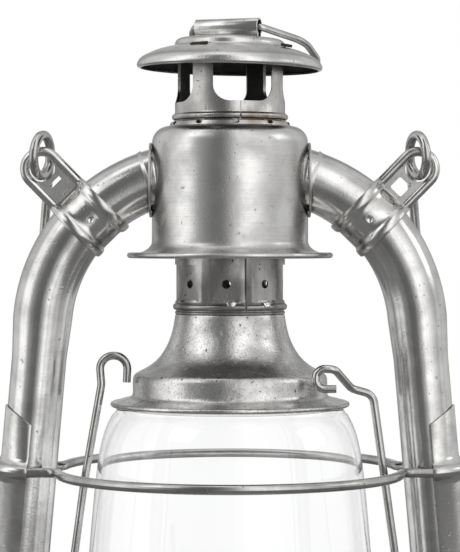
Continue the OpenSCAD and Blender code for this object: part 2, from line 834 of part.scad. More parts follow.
module globe_top_plate() {
    bell_foot_r = step_r - bell_round;
    line = concat(
        [
            [chimney_in_r - fit_gap, bell_top_z + spigot_h],
            [chimney_in_r - fit_gap, bell_top_z + 0.4]
        ],
        oval([bell_foot_r, bell_top_z], [chimney_r - bell_foot_r, -bell_rise], 0, 90),
        arc([bell_foot_r, bell_edge_z - bell_round], bell_round, 75, 0, 5),
        [
            [step_r, step_foot_z],
            [plate_r - rim_roll_r, plate_rim_z + rim_roll_r / 2]
        ]
    );
    color("silver") union() {
        turned_sheet(line, chimney_wall);
        rolled_edge(plate_r - rim_roll_r, plate_rim_z, rim_roll_r);
    }
}

// Half round bead on the outside of the chimney tube
module chimney_bead(z, h, out) {
    translate([0, 0, z]) rotate_extrude()
        polygon(oval([chimney_r - weld, 0], [out + weld, h / 2], -90, 90));
}

module chimney_tube() {
    leg_half_turn = asin(leg_w / 2 / chimney_r);
    window_turn = 360 / leg_count - 2 * leg_half_turn;
    color("silver") difference() {
        union() {
            turned_ring(chimney_in_r, chimney_r, tube_foot_z, leg_top_z);
            chimney_bead(lower_bead_z, lower_bead_h, bead_out / 2);
            chimney_bead(upper_bead_z, upper_bead_h, bead_out);
            turned_ring(chimney_r - weld, spring_seat_r, spring_seat_z - chimney_wall, spring_seat_z);
        }
        for (i = [0:leg_count - 1])
            rotate(heading(leg_turn) + leg_half_turn + i * 360 / leg_count)
                rotate_extrude(angle = window_turn)
                    translate([chimney_in_r - past, collar_z])
                        square([chimney_wall + 2 * past, leg_top_z - collar_z + past]);
        for (i = [0:panel_count - 1]) rotate(heading(panel_turn) + i * 360 / panel_count) {
            translate([chimney_r - panel_dent, -chimney_r / 2, panel_z])
                cube([past, chimney_r, panel_h]);
            translate([0, 0, air_hole_z]) rotate([0, 90, 0]) cylinder(r = air_hole_r, h = chimney_r + past);
        }
    }
}

// Points and faces of the spring, one unbroken tube
spring_rings = 8 * spring_turns;
spring_sides = 6;
spring_pitch = (spring_high_z - spring_low_z) / spring_turns;
function spring_point(i) =
    let (a = 360 * i / 8) [spring_r * cos(a), spring_r * sin(a), spring_low_z + spring_pitch * i / 8];
function spring_ring(i) =
    let (a = 360 * i / 8, out = [cos(a), sin(a), 0])
    [for (k = [0:spring_sides - 1]) let (b = -360 * k / spring_sides)
        spring_point(i) + spring_wire_r * (cos(b) * out + sin(b) * [0, 0, 1])];

module chimney_spring() {
    points = [for (i = [0:spring_rings]) each spring_ring(i)];
    sides = [for (i = [0:spring_rings - 1]) for (k = [0:spring_sides - 1])
        let (a = i * spring_sides + k, b = i * spring_sides + (k + 1) % spring_sides)
        each [[a, b, b + spring_sides], [a, b + spring_sides, a + spring_sides]]];
    last = spring_rings * spring_sides;
    ends = [for (k = [1:spring_sides - 2]) each [[0, k + 1, k], [last, last + k, last + k + 1]]];
    color("gray") polyhedron(points, concat(sides, ends));
}
spring_self_gap = min([for (i = [0:spring_rings - 8]) norm(spring_point(i + 8) - spring_point(i))])
    - 2 * spring_wire_r;
echo(spring_self_gap = spring_self_gap);

module chimney_cap() {
    brim_foot_z = leg_top_z + chimney_wall;
    line = concat(
        [[0, cap_z]],
        arc([cap_step_r - cap_dome_round, cap_z - cap_dome_round], cap_dome_round, 90, 0, 6),
        [
            [cap_step_r, brim_foot_z + cap_foot_rise],
            [cap_step_r + cap_foot_w, brim_foot_z],
            [cap_r - cap_knee_in, cap_z - cap_knee_drop],
            [cap_r - cap_roll_r, cap_rim_z + cap_roll_r / 2]
        ]
    );
    color("silver") union() {
        turned_sheet(line, chimney_wall);
        rolled_edge(cap_r - cap_roll_r, cap_rim_z, cap_roll_r);
    }
}

// Turns local X along the strap, and local Y to the side where the lift ring lies
module on_strap() {
    translate([strap_x, 0, strap_z]) rotate([0, 0, strap_yaw]) children();
}

module ring_strap() {
    bore_r = strap_r - strap_wall;
    color("silver") on_strap() difference() {
        union() {
            translate([-strap_l / 2, 0, 0]) rotate([0, 90, 0]) cylinder(r = strap_r, h = strap_l);
            translate([-strap_l / 2, -strap_tail_w / 2, -strap_r - strap_tail + fit_gap])
                cube([strap_l, strap_tail_w, strap_tail]);
            translate([-strap_l / 2, -strap_wall, -strap_r - weld])
                cube([strap_l, 2 * strap_wall, strap_r]);
        }
        translate([-strap_l, 0, 0]) rotate([0, 90, 0]) cylinder(r = bore_r, h = 2 * strap_l);
    }
}

module lift_ring() {
    points = [
        [ring_neck, 0, 0], [ring_half_w, ring_shoulder, 0], [ring_half_w, ring_reach, 0],
        [-ring_half_w, ring_reach, 0], [-ring_half_w, ring_shoulder, 0], [-ring_neck, 0, 0]
    ];
    bends = [3, 10, 11, 11, 10, 3];
    color("silver") on_strap() rotate([-ring_slope, 0, 0]) rotate([0, ring_roll, 0])
        closed_wire(points, bends, ring_wire_r);
}

module hood() {
    flare_r = hood_mouth_r - hood_roll_r - hood_r;
    line = concat(
        arc([hood_r - hood_shoulder, hood_top_z - hood_shoulder], hood_shoulder, 87, 0),
        oval([hood_r + flare_r, hood_bottom_z + hood_flare_h], [flare_r, hood_flare_h], 180, 270, 8)
    );
    color("silver") difference() {
        union() {
            turned_sheet(line, hood_wall);
            rolled_edge(hood_mouth_r - hood_roll_r, hood_bottom_z, hood_roll_r);
        }
        arch_part(tube_lean, arch_begin, 0, arch_tube_r + fit_gap);
        on_left() arch_part(tube_lean, arch_begin, 0, arch_tube_r + fit_gap);
    }
}

// Perforated ring under the hood's opening, with the seat of the spring below it
module hood_top_ring() {
    inner_r = hood_opening_r - lip_side_gap;
    line = [
        [chimney_r + lip_chimney_gap, hood_top_z + lip_rise],
        [inner_r, hood_top_z - lip_drop],
        [inner_r, ring_plate_z + hood_wall],
        [hood_r - hood_wall - fit_gap, ring_plate_z + hood_wall]
    ];
    color("silver") difference() {
        turned_sheet(line, hood_wall);
        for (i = [0:vent_count - 1]) rotate(heading(vent_turn) + i * 360 / vent_count)
            translate([inner_r, 0, ring_plate_z + vent_rise]) rotate([0, 90, 0])
                cylinder(r = vent_r, h = vent_reach, center = true, $fn = 24);
    }
}

module side_tube() {
    color("silver") difference() {
        tube_path(tube_r);
        tube_path(tube_r - tube_wall, 1);
        translate([0, 0, hood_bottom_z])
            cylinder(r = hood_r - hood_wall - fit_gap, h = hood_top_z - hood_bottom_z);
        translate([0, 0, tank_h]) cylinder(r = chamber_r - tank_wall - fit_gap, h = chamber_h);
    }
}
module right_side_tube() { side_tube(); }
module left_side_tube() { on_left() side_tube(); }

// Upright flange beside the hood, with a short neck along the tube
module tube_collar() {
    neck_turn = collar_neck_l / arch_r * 180 / PI;
    collar_rise = arch_z + arch_r * sin(collar_turn);
    reach = 4 * tube_r;
    color("silver") difference() {
        union() {
            translate([collar_x, 0, collar_rise]) rotate([0, 90, 0])
                cylinder(r = arch_tube_r + collar_flange_w, h = collar_t);
            difference() {
                arch_part(collar_turn - neck_turn, collar_turn, 0, arch_tube_r + collar_neck_t);
                translate([collar_x + collar_t / 2 - reach, -reach, collar_rise - reach])
                    cube([reach, 2 * reach, 2 * reach]);
            }
        }
        arch_part(tube_lean, arch_begin, 0, arch_tube_r + fit_gap);
    }
}
module right_tube_collar() { tube_collar(); }
module left_tube_collar() { on_left() tube_collar(); }

// Half shell on the outside of the tube, with a bead that holds the guard wire
module tube_sleeve() {
    in_r = tube_r + fit_gap;
    out_r = in_r + sleeve_t;
    groove_r = guard_wire_r + 2 * fit_gap;
    from = (arch_end[1] - sleeve_top_z) / cos(tube_lean);
    to = (arch_end[1] - sleeve_low_z) / cos(tube_lean);
    reach = 4 * tube_r;
    color("silver") difference() {
        union() {
            run_part(from, to, in_r, out_r);
            translate([tube_x(guard_z), 0, guard_z]) rotate_extrude()
                translate([guard_side_r, 0]) circle(groove_r + bead_wall, $fn = 32);
        }
        run_part(0, run_l, 0, in_r);
        translate([tube_x(guard_z), 0, guard_z]) rotate_extrude()
            translate([guard_side_r, 0]) circle(groove_r, $fn = 32);
        translate([arch_end[0], 0, arch_end[1]]) rotate([0, 180 - tube_lean, 0]) {
            translate([0, -reach, 0]) cube([reach, 2 * reach, run_l]);
            translate([0, 0, from + sleeve_slant]) rotate([0, -atan(sleeve_slant / out_r), 0])
                translate([-reach, -reach, -reach]) cube([2 * reach, 2 * reach, reach]);
        }
    }
}
module right_tube_sleeve() { tube_sleeve(); }
module left_tube_sleeve() { on_left() tube_sleeve(); }

// Outline of the ear from its foot on the band to its round head
module ear_outline(half_w) {
    foot = arch_tube_r + band_t / 2;
    translate([arch_r + foot, -half_w]) square([ear_reach - foot, 2 * half_w]);
    translate([ear_centre, 0]) circle(half_w);
}

// Straight band round the arch with raised edges, and the ear with its raised rim
module ear_band(slot_size, slot_gap) {
    core_r = arch_tube_r - 3 * weld;
    plain_r = arch_tube_r + fit_gap + band_t;
    rib_r = plain_r + rib_out;
    edge = band_w / 2;
    half_line = [
        [core_r, edge], [rib_r - rib_edge, edge], [rib_r, edge - rib_edge],
        [rib_r, edge - rib_w + rib_edge], [plain_r, edge - rib_w]
    ];
    color("silver") difference() {
        union() {
            on_arch(ear_turn) translate([arch_r, 0, 0]) rotate_extrude()
                polygon(concat(half_line, reverse([for (p = half_line) [p[0], -p[1]]])));
            on_arch(ear_turn) rotate([90, 0, 0]) {
                linear_extrude(ear_t, center = true) ear_outline(ear_head_r);
                linear_extrude(ear_edge_t, center = true) difference() {
                    ear_outline(ear_head_r);
                    ear_outline(ear_head_r - ear_edge_w);
                }
            }
        }
        arch_part(tube_lean, arch_begin, 0, arch_tube_r + fit_gap);
        on_arch(ear_turn) rotate([90, 0, 0]) linear_extrude(2 * ear_edge_t, center = true) {
            translate([ear_centre, 0]) circle(ear_hole_r);
            translate([arch_r + plain_r + slot_gap, -slot_size[1] / 2]) square(slot_size);
        }
    }
}
module right_ear_band() { ear_band(ear_slot_size, ear_slot_gap); }
module left_ear_band() { on_left() ear_band(ear_slit_size, ear_slit_gap); }

// Fillet, straight side and joint of the guard wire at its front right corner
module guard_corner() {
    joint = [guard_arc_r * cos(guard_arc_turn), -guard_arc_y - guard_arc_r * sin(guard_arc_turn), 0];
    along = [sin(guard_arc_turn), cos(guard_arc_turn), 0];
    rod(joint - bend_lap * along, joint + bend_lap * along, guard_wire_r);
    translate([guard_fillet_x, -guard_fillet_y, 0])
        wire_arc(guard_fillet, 90, 180 - guard_arc_turn - guard_joint_turn, guard_wire_r);
    rod([guard_fillet_x - bend_lap, -guard_side_r, 0],
        [tube_x(guard_z) + bend_lap, -guard_side_r, 0], guard_wire_r);
}

module guard_front() {
    translate([0, -guard_arc_y, 0])
        wire_arc(guard_arc_r, guard_arc_turn - 180 + guard_joint_turn / 9,
            -guard_arc_turn - guard_joint_turn / 9, guard_wire_r);
    guard_corner();
    on_left() guard_corner();
}

module guard_wire() {
    color("silver") translate([0, 0, guard_z]) union() {
        guard_front();
        mirror([0, 1, 0]) guard_front();
        for (side = [0, 1]) mirror([side, 0, 0]) translate([tube_x(guard_z), 0, 0])
            wire_arc(guard_side_r, -90, 90, guard_wire_r);
    }
}

// Right eye and leg of the bail, hanging straight down from its hinge
module bail_leg() {
    leg_end = [
        bail_arch_r * cos(bail_tangent), bail_leg_y, bail_arch_r * sin(bail_tangent) - bail_centre_drop
    ];
    leg_start = [bail_leg_x, bail_leg_y, -bail_seat];
    along = unit(leg_end - leg_start);
    translate([ear_x, 0, -bail_seat]) rotate([0, 0, bail_yaw]) rotate([0, 90, 0])
        wire_arc(bail_eye_r, 90, 90 + bail_eye_turn, bail_wire_r);
    rod(leg_start - bail_lap * along, leg_end + bend_lap * along, bail_wire_r);
}

module bail() {
    color("silver") translate([0, 0, bail_z]) rotate([bail_lean, 0, 0]) union() {
        bail_leg();
        on_left() bail_leg();
        translate([0, bail_leg_y, -bail_centre_drop]) rotate([90, 0, 0])
            wire_arc(bail_arch_r, -180 - bail_tangent, bail_tangent, bail_wire_r);
    }
}

rivet_spots = [for (side = [-1, 1]) [lever_x + side * bracket_half_w / 2, bracket_y + bracket_foot_w / 2]];

module lever_bracket() {
    color("silver") difference() {
        union() {
            translate([lever_x - bracket_half_w, bracket_y - bracket_t, tank_h])
                cube([2 * bracket_half_w, bracket_t, lever_z - tank_h]);
            translate([lever_x, bracket_y, lever_z]) rotate([90, 0, 0])
                cylinder(r = bracket_half_w, h = bracket_t);
            translate([lever_x - bracket_half_w, bracket_y - weld, tank_h])
                cube([2 * bracket_half_w, bracket_foot_w + weld, bracket_t]);
        }
        translate([lever_x, bracket_y + past, lever_z]) rotate([90, 0, 0])
            cylinder(r = lever_wire_r + run_gap, h = bracket_t + 2 * past);
        for (p = rivet_spots) translate([p[0], p[1], tank_h - past])
            cylinder(r = rivet_r + fit_gap, h = bracket_t + 2 * past);
    }
}

module bracket_rivets() {
    grip = bracket_t + tank_wall + 2 * fit_gap;
    color("gray") for (p = rivet_spots) translate([p[0], p[1], tank_h - tank_wall - fit_gap]) union() {
        cylinder(r = rivet_r, h = grip);
        translate([0, 0, grip]) cylinder(r = rivet_head_r, h = rivet_head_t);
        translate([0, 0, -rivet_tail_t]) cylinder(r = rivet_head_r, h = rivet_tail_t);
    }
}

module lift_lever() {
    swing = lever_swing / 2;
    thumb_y = bracket_y - bracket_t - lever_bend - 2 * fit_gap;
    pivot = [lever_x, lever_y, lever_z];
    tip = pivot - (lever_arm + tip_past) * [cos(swing), 0, sin(swing)];
    crank = [lever_x, thumb_y, lever_z];
    thumb = crank + thumb_arm * [cos(2 * swing), 0, sin(2 * swing)];
    color("silver") union() {
        wire([tip, pivot, crank, thumb], [lever_bend, lever_bend], lever_wire_r);
        translate(thumb) rotate([90, 0, 0]) cylinder(r = thumb_r, h = thumb_t, center = true);
    }
}

tank_shell();
tank_bottom();
filler_neck();
filler_seal();
filler_cap();
air_chamber();
burner_body();
wick_tube();
wick();
wick_shaft();
wick_knob();
globe_carrier();
burner_cone();
globe();
left_globe_wire();
right_globe_wire();
globe_top_plate();
chimney_tube();
chimney_spring();
chimney_cap();
ring_strap();
lift_ring();
hood();
hood_top_ring();
left_side_tube();
right_side_tube();
left_tube_collar();
right_tube_collar();
left_tube_sleeve();
right_tube_sleeve();
left_ear_band();
right_ear_band();
guard_wire();
bail();
lever_bracket();
bracket_rivets();
lift_lever();
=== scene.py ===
# %% [markdown]
# A hurricane lantern of tinned sheet steel. Air comes down the two side tubes to
# the burner, and hot gas leaves through the chimney on top. This lesson dresses the
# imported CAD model: the frame is loaded first, and every later piece is drawn in the
# same place and rides on one of its bodies.

# %% Load the frame
import json
from math import acos, asin, cos, degrees, hypot, pi, radians, sin, sqrt, tan

import bmesh
import bpy
from mathutils import Matrix, Vector


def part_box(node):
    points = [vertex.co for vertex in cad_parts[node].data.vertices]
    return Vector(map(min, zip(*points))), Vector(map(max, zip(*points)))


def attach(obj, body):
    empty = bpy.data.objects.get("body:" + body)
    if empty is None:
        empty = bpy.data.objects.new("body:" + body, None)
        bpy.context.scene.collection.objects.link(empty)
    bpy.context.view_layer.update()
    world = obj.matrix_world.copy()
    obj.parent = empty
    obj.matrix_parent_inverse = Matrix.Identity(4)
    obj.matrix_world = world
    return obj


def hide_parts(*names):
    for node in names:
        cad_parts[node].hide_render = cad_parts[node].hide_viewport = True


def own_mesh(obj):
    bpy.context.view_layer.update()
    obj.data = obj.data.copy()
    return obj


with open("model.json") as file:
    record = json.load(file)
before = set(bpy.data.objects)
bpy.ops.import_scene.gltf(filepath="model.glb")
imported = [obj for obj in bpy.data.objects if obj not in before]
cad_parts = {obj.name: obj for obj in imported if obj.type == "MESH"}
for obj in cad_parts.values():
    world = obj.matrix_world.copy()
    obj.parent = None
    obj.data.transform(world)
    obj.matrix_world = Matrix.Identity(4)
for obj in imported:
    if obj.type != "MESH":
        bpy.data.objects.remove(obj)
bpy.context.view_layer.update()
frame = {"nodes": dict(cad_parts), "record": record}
scene = bpy.context.scene
MM = 0.001

# %% [markdown]
# The photograph was taken a little above the hood, from about seventy centimetres in
# front, with a long lens. A camera takes its framing from a lens and a sensor: here
# the sensor's height is fixed, so the picture's upright format needs no shift.

# %% Camera
CAMERA_PLACE = Vector((0, -705, 198)) * MM
CAMERA_DROP = radians(0.88)
SENSOR_HEIGHT, FOCAL_LENGTH = 36, 153.2
lens = bpy.data.cameras.new("camera")
lens.sensor_fit = "VERTICAL"
lens.sensor_height = SENSOR_HEIGHT
lens.lens = FOCAL_LENGTH
camera = bpy.data.objects.new("camera", lens)
camera.location = CAMERA_PLACE
camera.rotation_euler = (pi / 2 - CAMERA_DROP, 0, 0)
scene.collection.objects.link(camera)
scene.camera = camera
scene.view_settings.view_transform = "Standard"
print("camera with a", lens.lens, "mm lens")

# %% [markdown]
# Shaders are node trees. Wiring them by hand takes many lines, so one small class
# wraps an output socket: sums on it add Math nodes, and its node method adds any
# other node with its settings first and then its inputs.


# %% A socket that can be reckoned with
def grey(tone):
    """A grey as a colour with full cover."""
    return (tone, tone, tone, 1)


class Shade:
    """An output socket of a node tree. Sums on it add Math nodes to the tree."""

    def __init__(self, tree, socket=None):
        self.tree = tree
        self.socket = socket

    def node(self, kind, settings, inputs, output=0):
        """Adds a node: its settings first, then the values or links of its inputs."""
        made = self.tree.nodes.new("ShaderNode" + kind)
        for name, value in settings.items():
            if name == "stops":
                self.lay_stops(made.color_ramp, value)
            else:
                setattr(made, name, value)
        for name, value in inputs.items():
            if isinstance(value, Shade):
                self.tree.links.new(value.socket, made.inputs[name])
            else:
                made.inputs[name].default_value = value
        return Shade(self.tree, made.outputs[output] if made.outputs else None)

    @staticmethod
    def lay_stops(ramp, stops):
        """Puts (place, grey) stops on a colour ramp."""
        while len(ramp.elements) < len(stops):
            ramp.elements.new(1)
        for element, (place, tone) in zip(ramp.elements, stops):
            element.position = place
            element.color = grey(tone)

    def reckon(self, operation, *values):
        return self.node("Math", {"operation": operation}, dict(enumerate(values)))

    def __add__(self, other):
        return self.reckon("ADD", self, other)

    def __sub__(self, other):
        return self.reckon("SUBTRACT", self, other)

    def __rsub__(self, other):
        return self.reckon("SUBTRACT", other, self)

    def __mul__(self, other):
        return self.reckon("MULTIPLY", self, other)

    __radd__ = __add__
    __rmul__ = __mul__

    def between(self, low, high):
        """0 below low, 1 above high, and smooth between them."""
        return self.node(
            "MapRange", {"interpolation_type": "SMOOTHSTEP"},
            {"Value": self, "From Min": low, "From Max": high})

    def tint(self, first, second):
        """Colour that goes from first to second as this value goes from 0 to 1."""
        return self.node(
            "Mix", {"data_type": "RGBA"}, {"Factor": self, 6: first, 7: second}, output=2)


print("shader maths ready")

# %% [markdown]
# The stage is a pale round floor in a white room. What a camera ray meets is plain
# white, and so is what is seen through the glass. Bare metal shows little but its
# surroundings, so for all other rays the room has tall soft panels of light to the
# left and right with greyer walls between them, as in a product photographer's tent.

# %% Room and soft light
CEILING_GREY, UNDERFOOT_GREY, TENT_STRENGTH = 0.78, 0.1, 1.4
LANTERN_MIDDLE = Vector((0, 0, 150)) * MM
room = bpy.data.worlds.new("room")
scene.world = room
room.use_nodes = True
room.node_tree.nodes.clear()
air = Shade(room.node_tree)
direction = air.node("TexCoord", {}, {}, output="Generated")
part_x, part_y, part_z = (
    air.node("SeparateXYZ", {}, {"Vector": direction}, output=axis) for axis in "XYZ")
# Angle round the room: 0.5 is the wall behind the camera, 0.25 is the left, 0.75 the right
around = part_x.reckon("ARCTAN2", part_x, 0 - part_y) * (1 / (2 * pi)) + 0.5
PANELS = [
    (0.0, 0.5), (0.06, 0.22), (0.13, 0.5), (0.23, 0.55), (0.29, 1.0), (0.325, 0.95), (0.365, 0.3),
    (0.42, 0.13), (0.47, 0.11), (0.505, 0.3), (0.545, 1.0), (0.59, 1.0), (0.64, 0.7), (0.69, 0.48),
    (0.8, 0.5), (0.9, 0.45), (0.95, 0.22), (1.0, 0.5)]
walls = air.node("ValToRGB", {"stops": PANELS}, {"Fac": around})
overhead = part_z.between(0.92, 1.0)
underfoot = (0 - part_z).between(0.05, 0.6)
lit = overhead.tint(walls, grey(CEILING_GREY))
lit = underfoot.tint(lit, grey(UNDERFOOT_GREY))
path = {kind: air.node("LightPath", {}, {}, output=kind) for kind in (
    "Is Camera Ray", "Is Transmission Ray")}
open_white = path["Is Camera Ray"].reckon("MAXIMUM", *path.values())
tent = air.node("Background", {}, {"Color": lit, "Strength": TENT_STRENGTH})
white = air.node("Background", {}, {"Color": grey(1), "Strength": 1})
seen = air.node("MixShader", {}, {0: open_white, 1: tent, 2: white})
air.node("OutputWorld", {}, {"Surface": seen})


def soft_box(name, place, size, watts):
    """A square lamp that looks at the middle of the lantern."""
    lamp = bpy.data.lights.new(name, "AREA")
    lamp.size = size
    lamp.energy = watts
    box = bpy.data.objects.new(name, lamp)
    box.location = place
    box.rotation_euler = (LANTERN_MIDDLE - Vector(place)).to_track_quat("-Z", "Y").to_euler()
    scene.collection.objects.link(box)


soft_box("key_box", (-0.9, -0.75, 1.1), 0.6, 1.0)
soft_box("side_box", (1.1, -0.1, 0.7), 0.5, 0.8)
print("room with", len(PANELS), "stops of grey and two soft boxes")

# %% [markdown]
# The floor is a disc of pale paper that fades to white towards its edge, so that no
# edge shows in the picture. The light path tells which kind of ray has met it: bare
# metal mirrors a greyer paper, which gives the metal dark lower edges.

# %% Floor
FLOOR_R, FADE_START, FADE_END = 0.6, 0.2, 0.54
PAPER, MIRRORED_PAPER = (0.86, 0.86, 0.855, 1), grey(0.25)
RAYS = ("Camera", "Glossy", "Transmission")
floor_finish = bpy.data.materials.new("pale_floor")
floor_finish.use_nodes = True
floor_finish.node_tree.nodes.clear()
ground = Shade(floor_finish.node_tree)
spot = ground.node("TexCoord", {}, {}, output="Object")
out_from_middle = ground.node("VectorMath", {"operation": "LENGTH"}, {0: spot}, output="Value")
fade = out_from_middle.between(FADE_START, FADE_END)
straight, bounced, through = (
    ground.node("LightPath", {}, {}, output=f"Is {kind} Ray") for kind in RAYS)
fade = fade * straight.reckon("MAXIMUM", straight, through)
mirrored_floor = bounced * (1 - through)
paper = ground.node("BsdfDiffuse", {}, {"Color": mirrored_floor.tint(PAPER, MIRRORED_PAPER)})
glow = ground.node("Emission", {}, {"Color": grey(1), "Strength": 1})
ground.node(
    "OutputMaterial", {},
    {"Surface": ground.node("MixShader", {}, {0: fade, 1: paper, 2: glow})})
disc = bmesh.new()
bmesh.ops.create_circle(disc, cap_ends=True, segments=96, radius=FLOOR_R)
floor_mesh = bpy.data.meshes.new("floor")
disc.to_mesh(floor_mesh)
disc.free()
floor = bpy.data.objects.new("floor", floor_mesh)
floor_mesh.materials.append(floor_finish)
scene.collection.objects.link(floor)
print("floor of radius", FLOOR_R, "m")

# %% [markdown]
# Tinned steel is bright but never quite clean: the tin lies in soft clouds, rolling
# and wiping leave fine lines, and small dark pits show where moisture got under it.
# Noise at three sizes gives clouds, grain and pits, and a stretched noise gives the
# lines. On turned pieces the lines run round, so the noise is squeezed along Z. On
# tubes and wires they run lengthwise, so the noise reads an attribute named section,
# which holds each point's place in the cross section.


# %% Finish of tinned sheet and drawn wire
def new_finish(name):
    """A material with an empty tree, and a wrapper to build in it."""
    finish = bpy.data.materials.new(name)
    finish.use_nodes = True
    finish.node_tree.nodes.clear()
    return finish, Shade(finish.node_tree)


def close_finish(start, sockets):
    """Ends a tree with one shader for the surface."""
    coat = start.node("BsdfPrincipled", {}, sockets)
    start.node("OutputMaterial", {}, {"Surface": coat})


def noise(start, place, scale, detail):
    return start.node(
        "TexNoise", {}, {"Vector": place, "Scale": scale, "Detail": detail, "Roughness": 0.55})


ROUND_LINES = (45, 45, 2400)
PIT_TONE, SPECK_TONE = (0.13, 0.115, 0.1, 1), (0.1, 0.095, 0.09, 1)
STAIN_TONE, STAIN_COVER, STAIN_EDGE = (0.34, 0.25, 0.17, 1), 0.75, 5


def bare_metal(
        name, light, dark, lines, shine=(0.2, 0.42), pits=0.5, grain=0.3, stain=None, speck=0.0,
        streak=0.35):
    """Bare metal with clouds, lines and pits.

    lines is "round", "along" or a scale per axis. stain is a height, a reach and where
    it starts along X, in millimetres.
    """
    finish, start = new_finish(name)
    place = start.node("TexCoord", {}, {}, output="Object")
    if lines == "along":
        section = start.node("Attribute", {"attribute_name": "section"}, {}, output="Vector")
        streaks = noise(start, section, 900, 3)
    else:
        stretch = ROUND_LINES if lines == "round" else lines
        streaks = noise(start, start.node("Mapping", {}, {"Vector": place, "Scale": stretch}), 1, 3)
    clouds = noise(start, place, 110, 5)
    fine = noise(start, place, 1700, 3)
    holes = noise(start, place, 620, 2).between(0.66, 0.76) * pits
    murk = clouds.between(0.3, 0.75) * (1 - streak) + streaks.between(0.35, 0.7) * streak
    colour = murk.tint((*light, 1), (*dark, 1))
    colour = holes.tint(colour, PIT_TONE)
    if speck:
        colour = (fine.between(0.5, 0.72) * speck).tint(colour, SPECK_TONE)
    if stain:
        middle, reach, side = stain
        across, height = (
            start.node("SeparateXYZ", {}, {"Vector": place}, output=axis) for axis in "XZ")
        away = height - middle * MM
        near = 1 - away.reckon("ABSOLUTE", away).between(0, reach * MM)
        near = near * clouds.between(0.35, 0.62) * across.between(side * MM, (side + STAIN_EDGE) * MM)
        colour = (near * STAIN_COVER).tint(colour, STAIN_TONE)
    rough = murk * (shine[1] - shine[0]) + shine[0] + holes * 0.3
    relief = fine * 0.5 + streaks * 0.12 + holes * -1.2
    bump = start.node(
        "Bump", {}, {"Height": relief, "Strength": grain, "Distance": 0.15 * MM})
    close_finish(start, {
        "Base Color": colour, "Metallic": 1.0, "Roughness": rough, "Normal": bump})
    return finish


tin_turned = bare_metal("tin_turned", (0.74, 0.735, 0.72), (0.5, 0.495, 0.485), "round", streak=0.15)
# The neck's finish is darker than the turned tin: painted shade on the chimney's neck under the hood.
tin_neck_shaded = bare_metal(
    "tin_neck_shaded", (0.5, 0.492, 0.48), (0.2, 0.196, 0.19), (240, 240, 60), (0.22, 0.45), 0.9, 0.45)
tin_crown = bare_metal(
    "tin_crown", (0.76, 0.755, 0.74), (0.48, 0.475, 0.46), "round", (0.18, 0.36), 0.6, 0.4, streak=0.2)
# The legs' finish is darker than the turned tin: painted shade on the legs under the cap and on the
# ring under the chimney's bead. Its brown stain by the bead is a stain of the metal.
tin_leg_stain_and_shade = bare_metal(
    "tin_leg_stain_and_shade", (0.64, 0.63, 0.61), (0.3, 0.295, 0.285), (260, 260, 40), (0.18, 0.38), 0.7, 0.35,
    stain=(234, 4, 2))
tin_bell = bare_metal(
    "tin_bell", (0.8, 0.795, 0.78), (0.44, 0.435, 0.425), (300, 300, 300), (0.2, 0.36), 1.0, 0.9,
    speck=0.42)
tin_tube = bare_metal("tin_tube", (0.82, 0.815, 0.8), (0.45, 0.445, 0.435), "along", (0.1, 0.25))
tin_strap = bare_metal(
    "tin_strap", (0.8, 0.795, 0.78), (0.44, 0.435, 0.42), (200, 200, 200), (0.1, 0.28), 0.5)
wire_drawn = bare_metal(
    "wire_drawn", (0.66, 0.655, 0.64), (0.34, 0.335, 0.325), "along", (0.1, 0.28), 0.7, 0.25)
print("eight finishes of bare metal")

# %% [markdown]
# Inside the cap and the chimney the metal is black, for soot and for the shade in there,
# and the same black is painted shade on the legs' tabs and inside the strap's roll and
# the hood's ring. It is rough and takes nearly all the light. The globe is clear glass:
# a real wall of glass with its two surfaces needs no colour, only a very slight
# waviness of the surface.


# %% Soot and painted shade, glass and the small finishes
def plain_finish(name, light, dark, scale, rough, metal=0.0):
    """Two tones in soft clouds, with a little relief."""
    finish, start = new_finish(name)
    place = start.node("TexCoord", {}, {}, output="Object")
    clouds = noise(start, place, scale, 4)
    mask = clouds.between(0.35, 0.65)
    fine = noise(start, place, 1500, 3)
    bump = start.node("Bump", {}, {"Height": fine, "Strength": 0.2, "Distance": 0.1 * MM})
    close_finish(start, {
        "Base Color": mask.tint((*light, 1), (*dark, 1)), "Metallic": metal,
        "Roughness": mask * 0.12 + rough, "Normal": bump})
    return finish


soot_and_painted_shade = plain_finish("soot_and_painted_shade", (0.035, 0.032, 0.03), (0.012, 0.011, 0.01), 160, 0.68)
brass = plain_finish("brass", (0.78, 0.6, 0.3), (0.55, 0.38, 0.16), 140, 0.24, 1.0)
rubber = plain_finish("rubber", (0.05, 0.05, 0.05), (0.02, 0.02, 0.02), 200, 0.6)

glass, start = new_finish("glass")
place = start.node("TexCoord", {}, {}, output="Object")
waves = noise(start, start.node("Mapping", {}, {"Vector": place, "Scale": (1, 1, 0.5)}), 26, 1)
ripple = start.node("Bump", {}, {"Height": waves, "Strength": 0.12, "Distance": 0.6 * MM})
close_finish(start, {
    "Base Color": (0.997, 1, 0.999, 1), "Roughness": 0.0, "IOR": 1.48, "Specular IOR Level": 0.25,
    "Transmission Weight": 1.0, "Normal": ripple})

cotton, start = new_finish("cotton")
place = start.node("TexCoord", {}, {}, output="Object")
warp = start.node(
    "TexWave", {"bands_direction": "Y"}, {"Vector": place, "Scale": 320, "Distortion": 0.6})
weft = start.node(
    "TexWave", {"bands_direction": "Z"}, {"Vector": place, "Scale": 420, "Distortion": 0.6})
weave = warp.reckon("MAXIMUM", warp, weft)
char = start.node("SeparateXYZ", {}, {"Vector": place}, output="Z").between(0.0615, 0.064)
cloth = weave.tint((0.55, 0.51, 0.42, 1), (0.87, 0.84, 0.76, 1))
bump = start.node("Bump", {}, {"Height": weave, "Strength": 0.7, "Distance": 0.25 * MM})
close_finish(start, {
    "Base Color": char.tint(cloth, (0.03, 0.025, 0.02, 1)), "Roughness": 0.9, "Normal": bump})
print("soot, brass, rubber, glass and cotton")

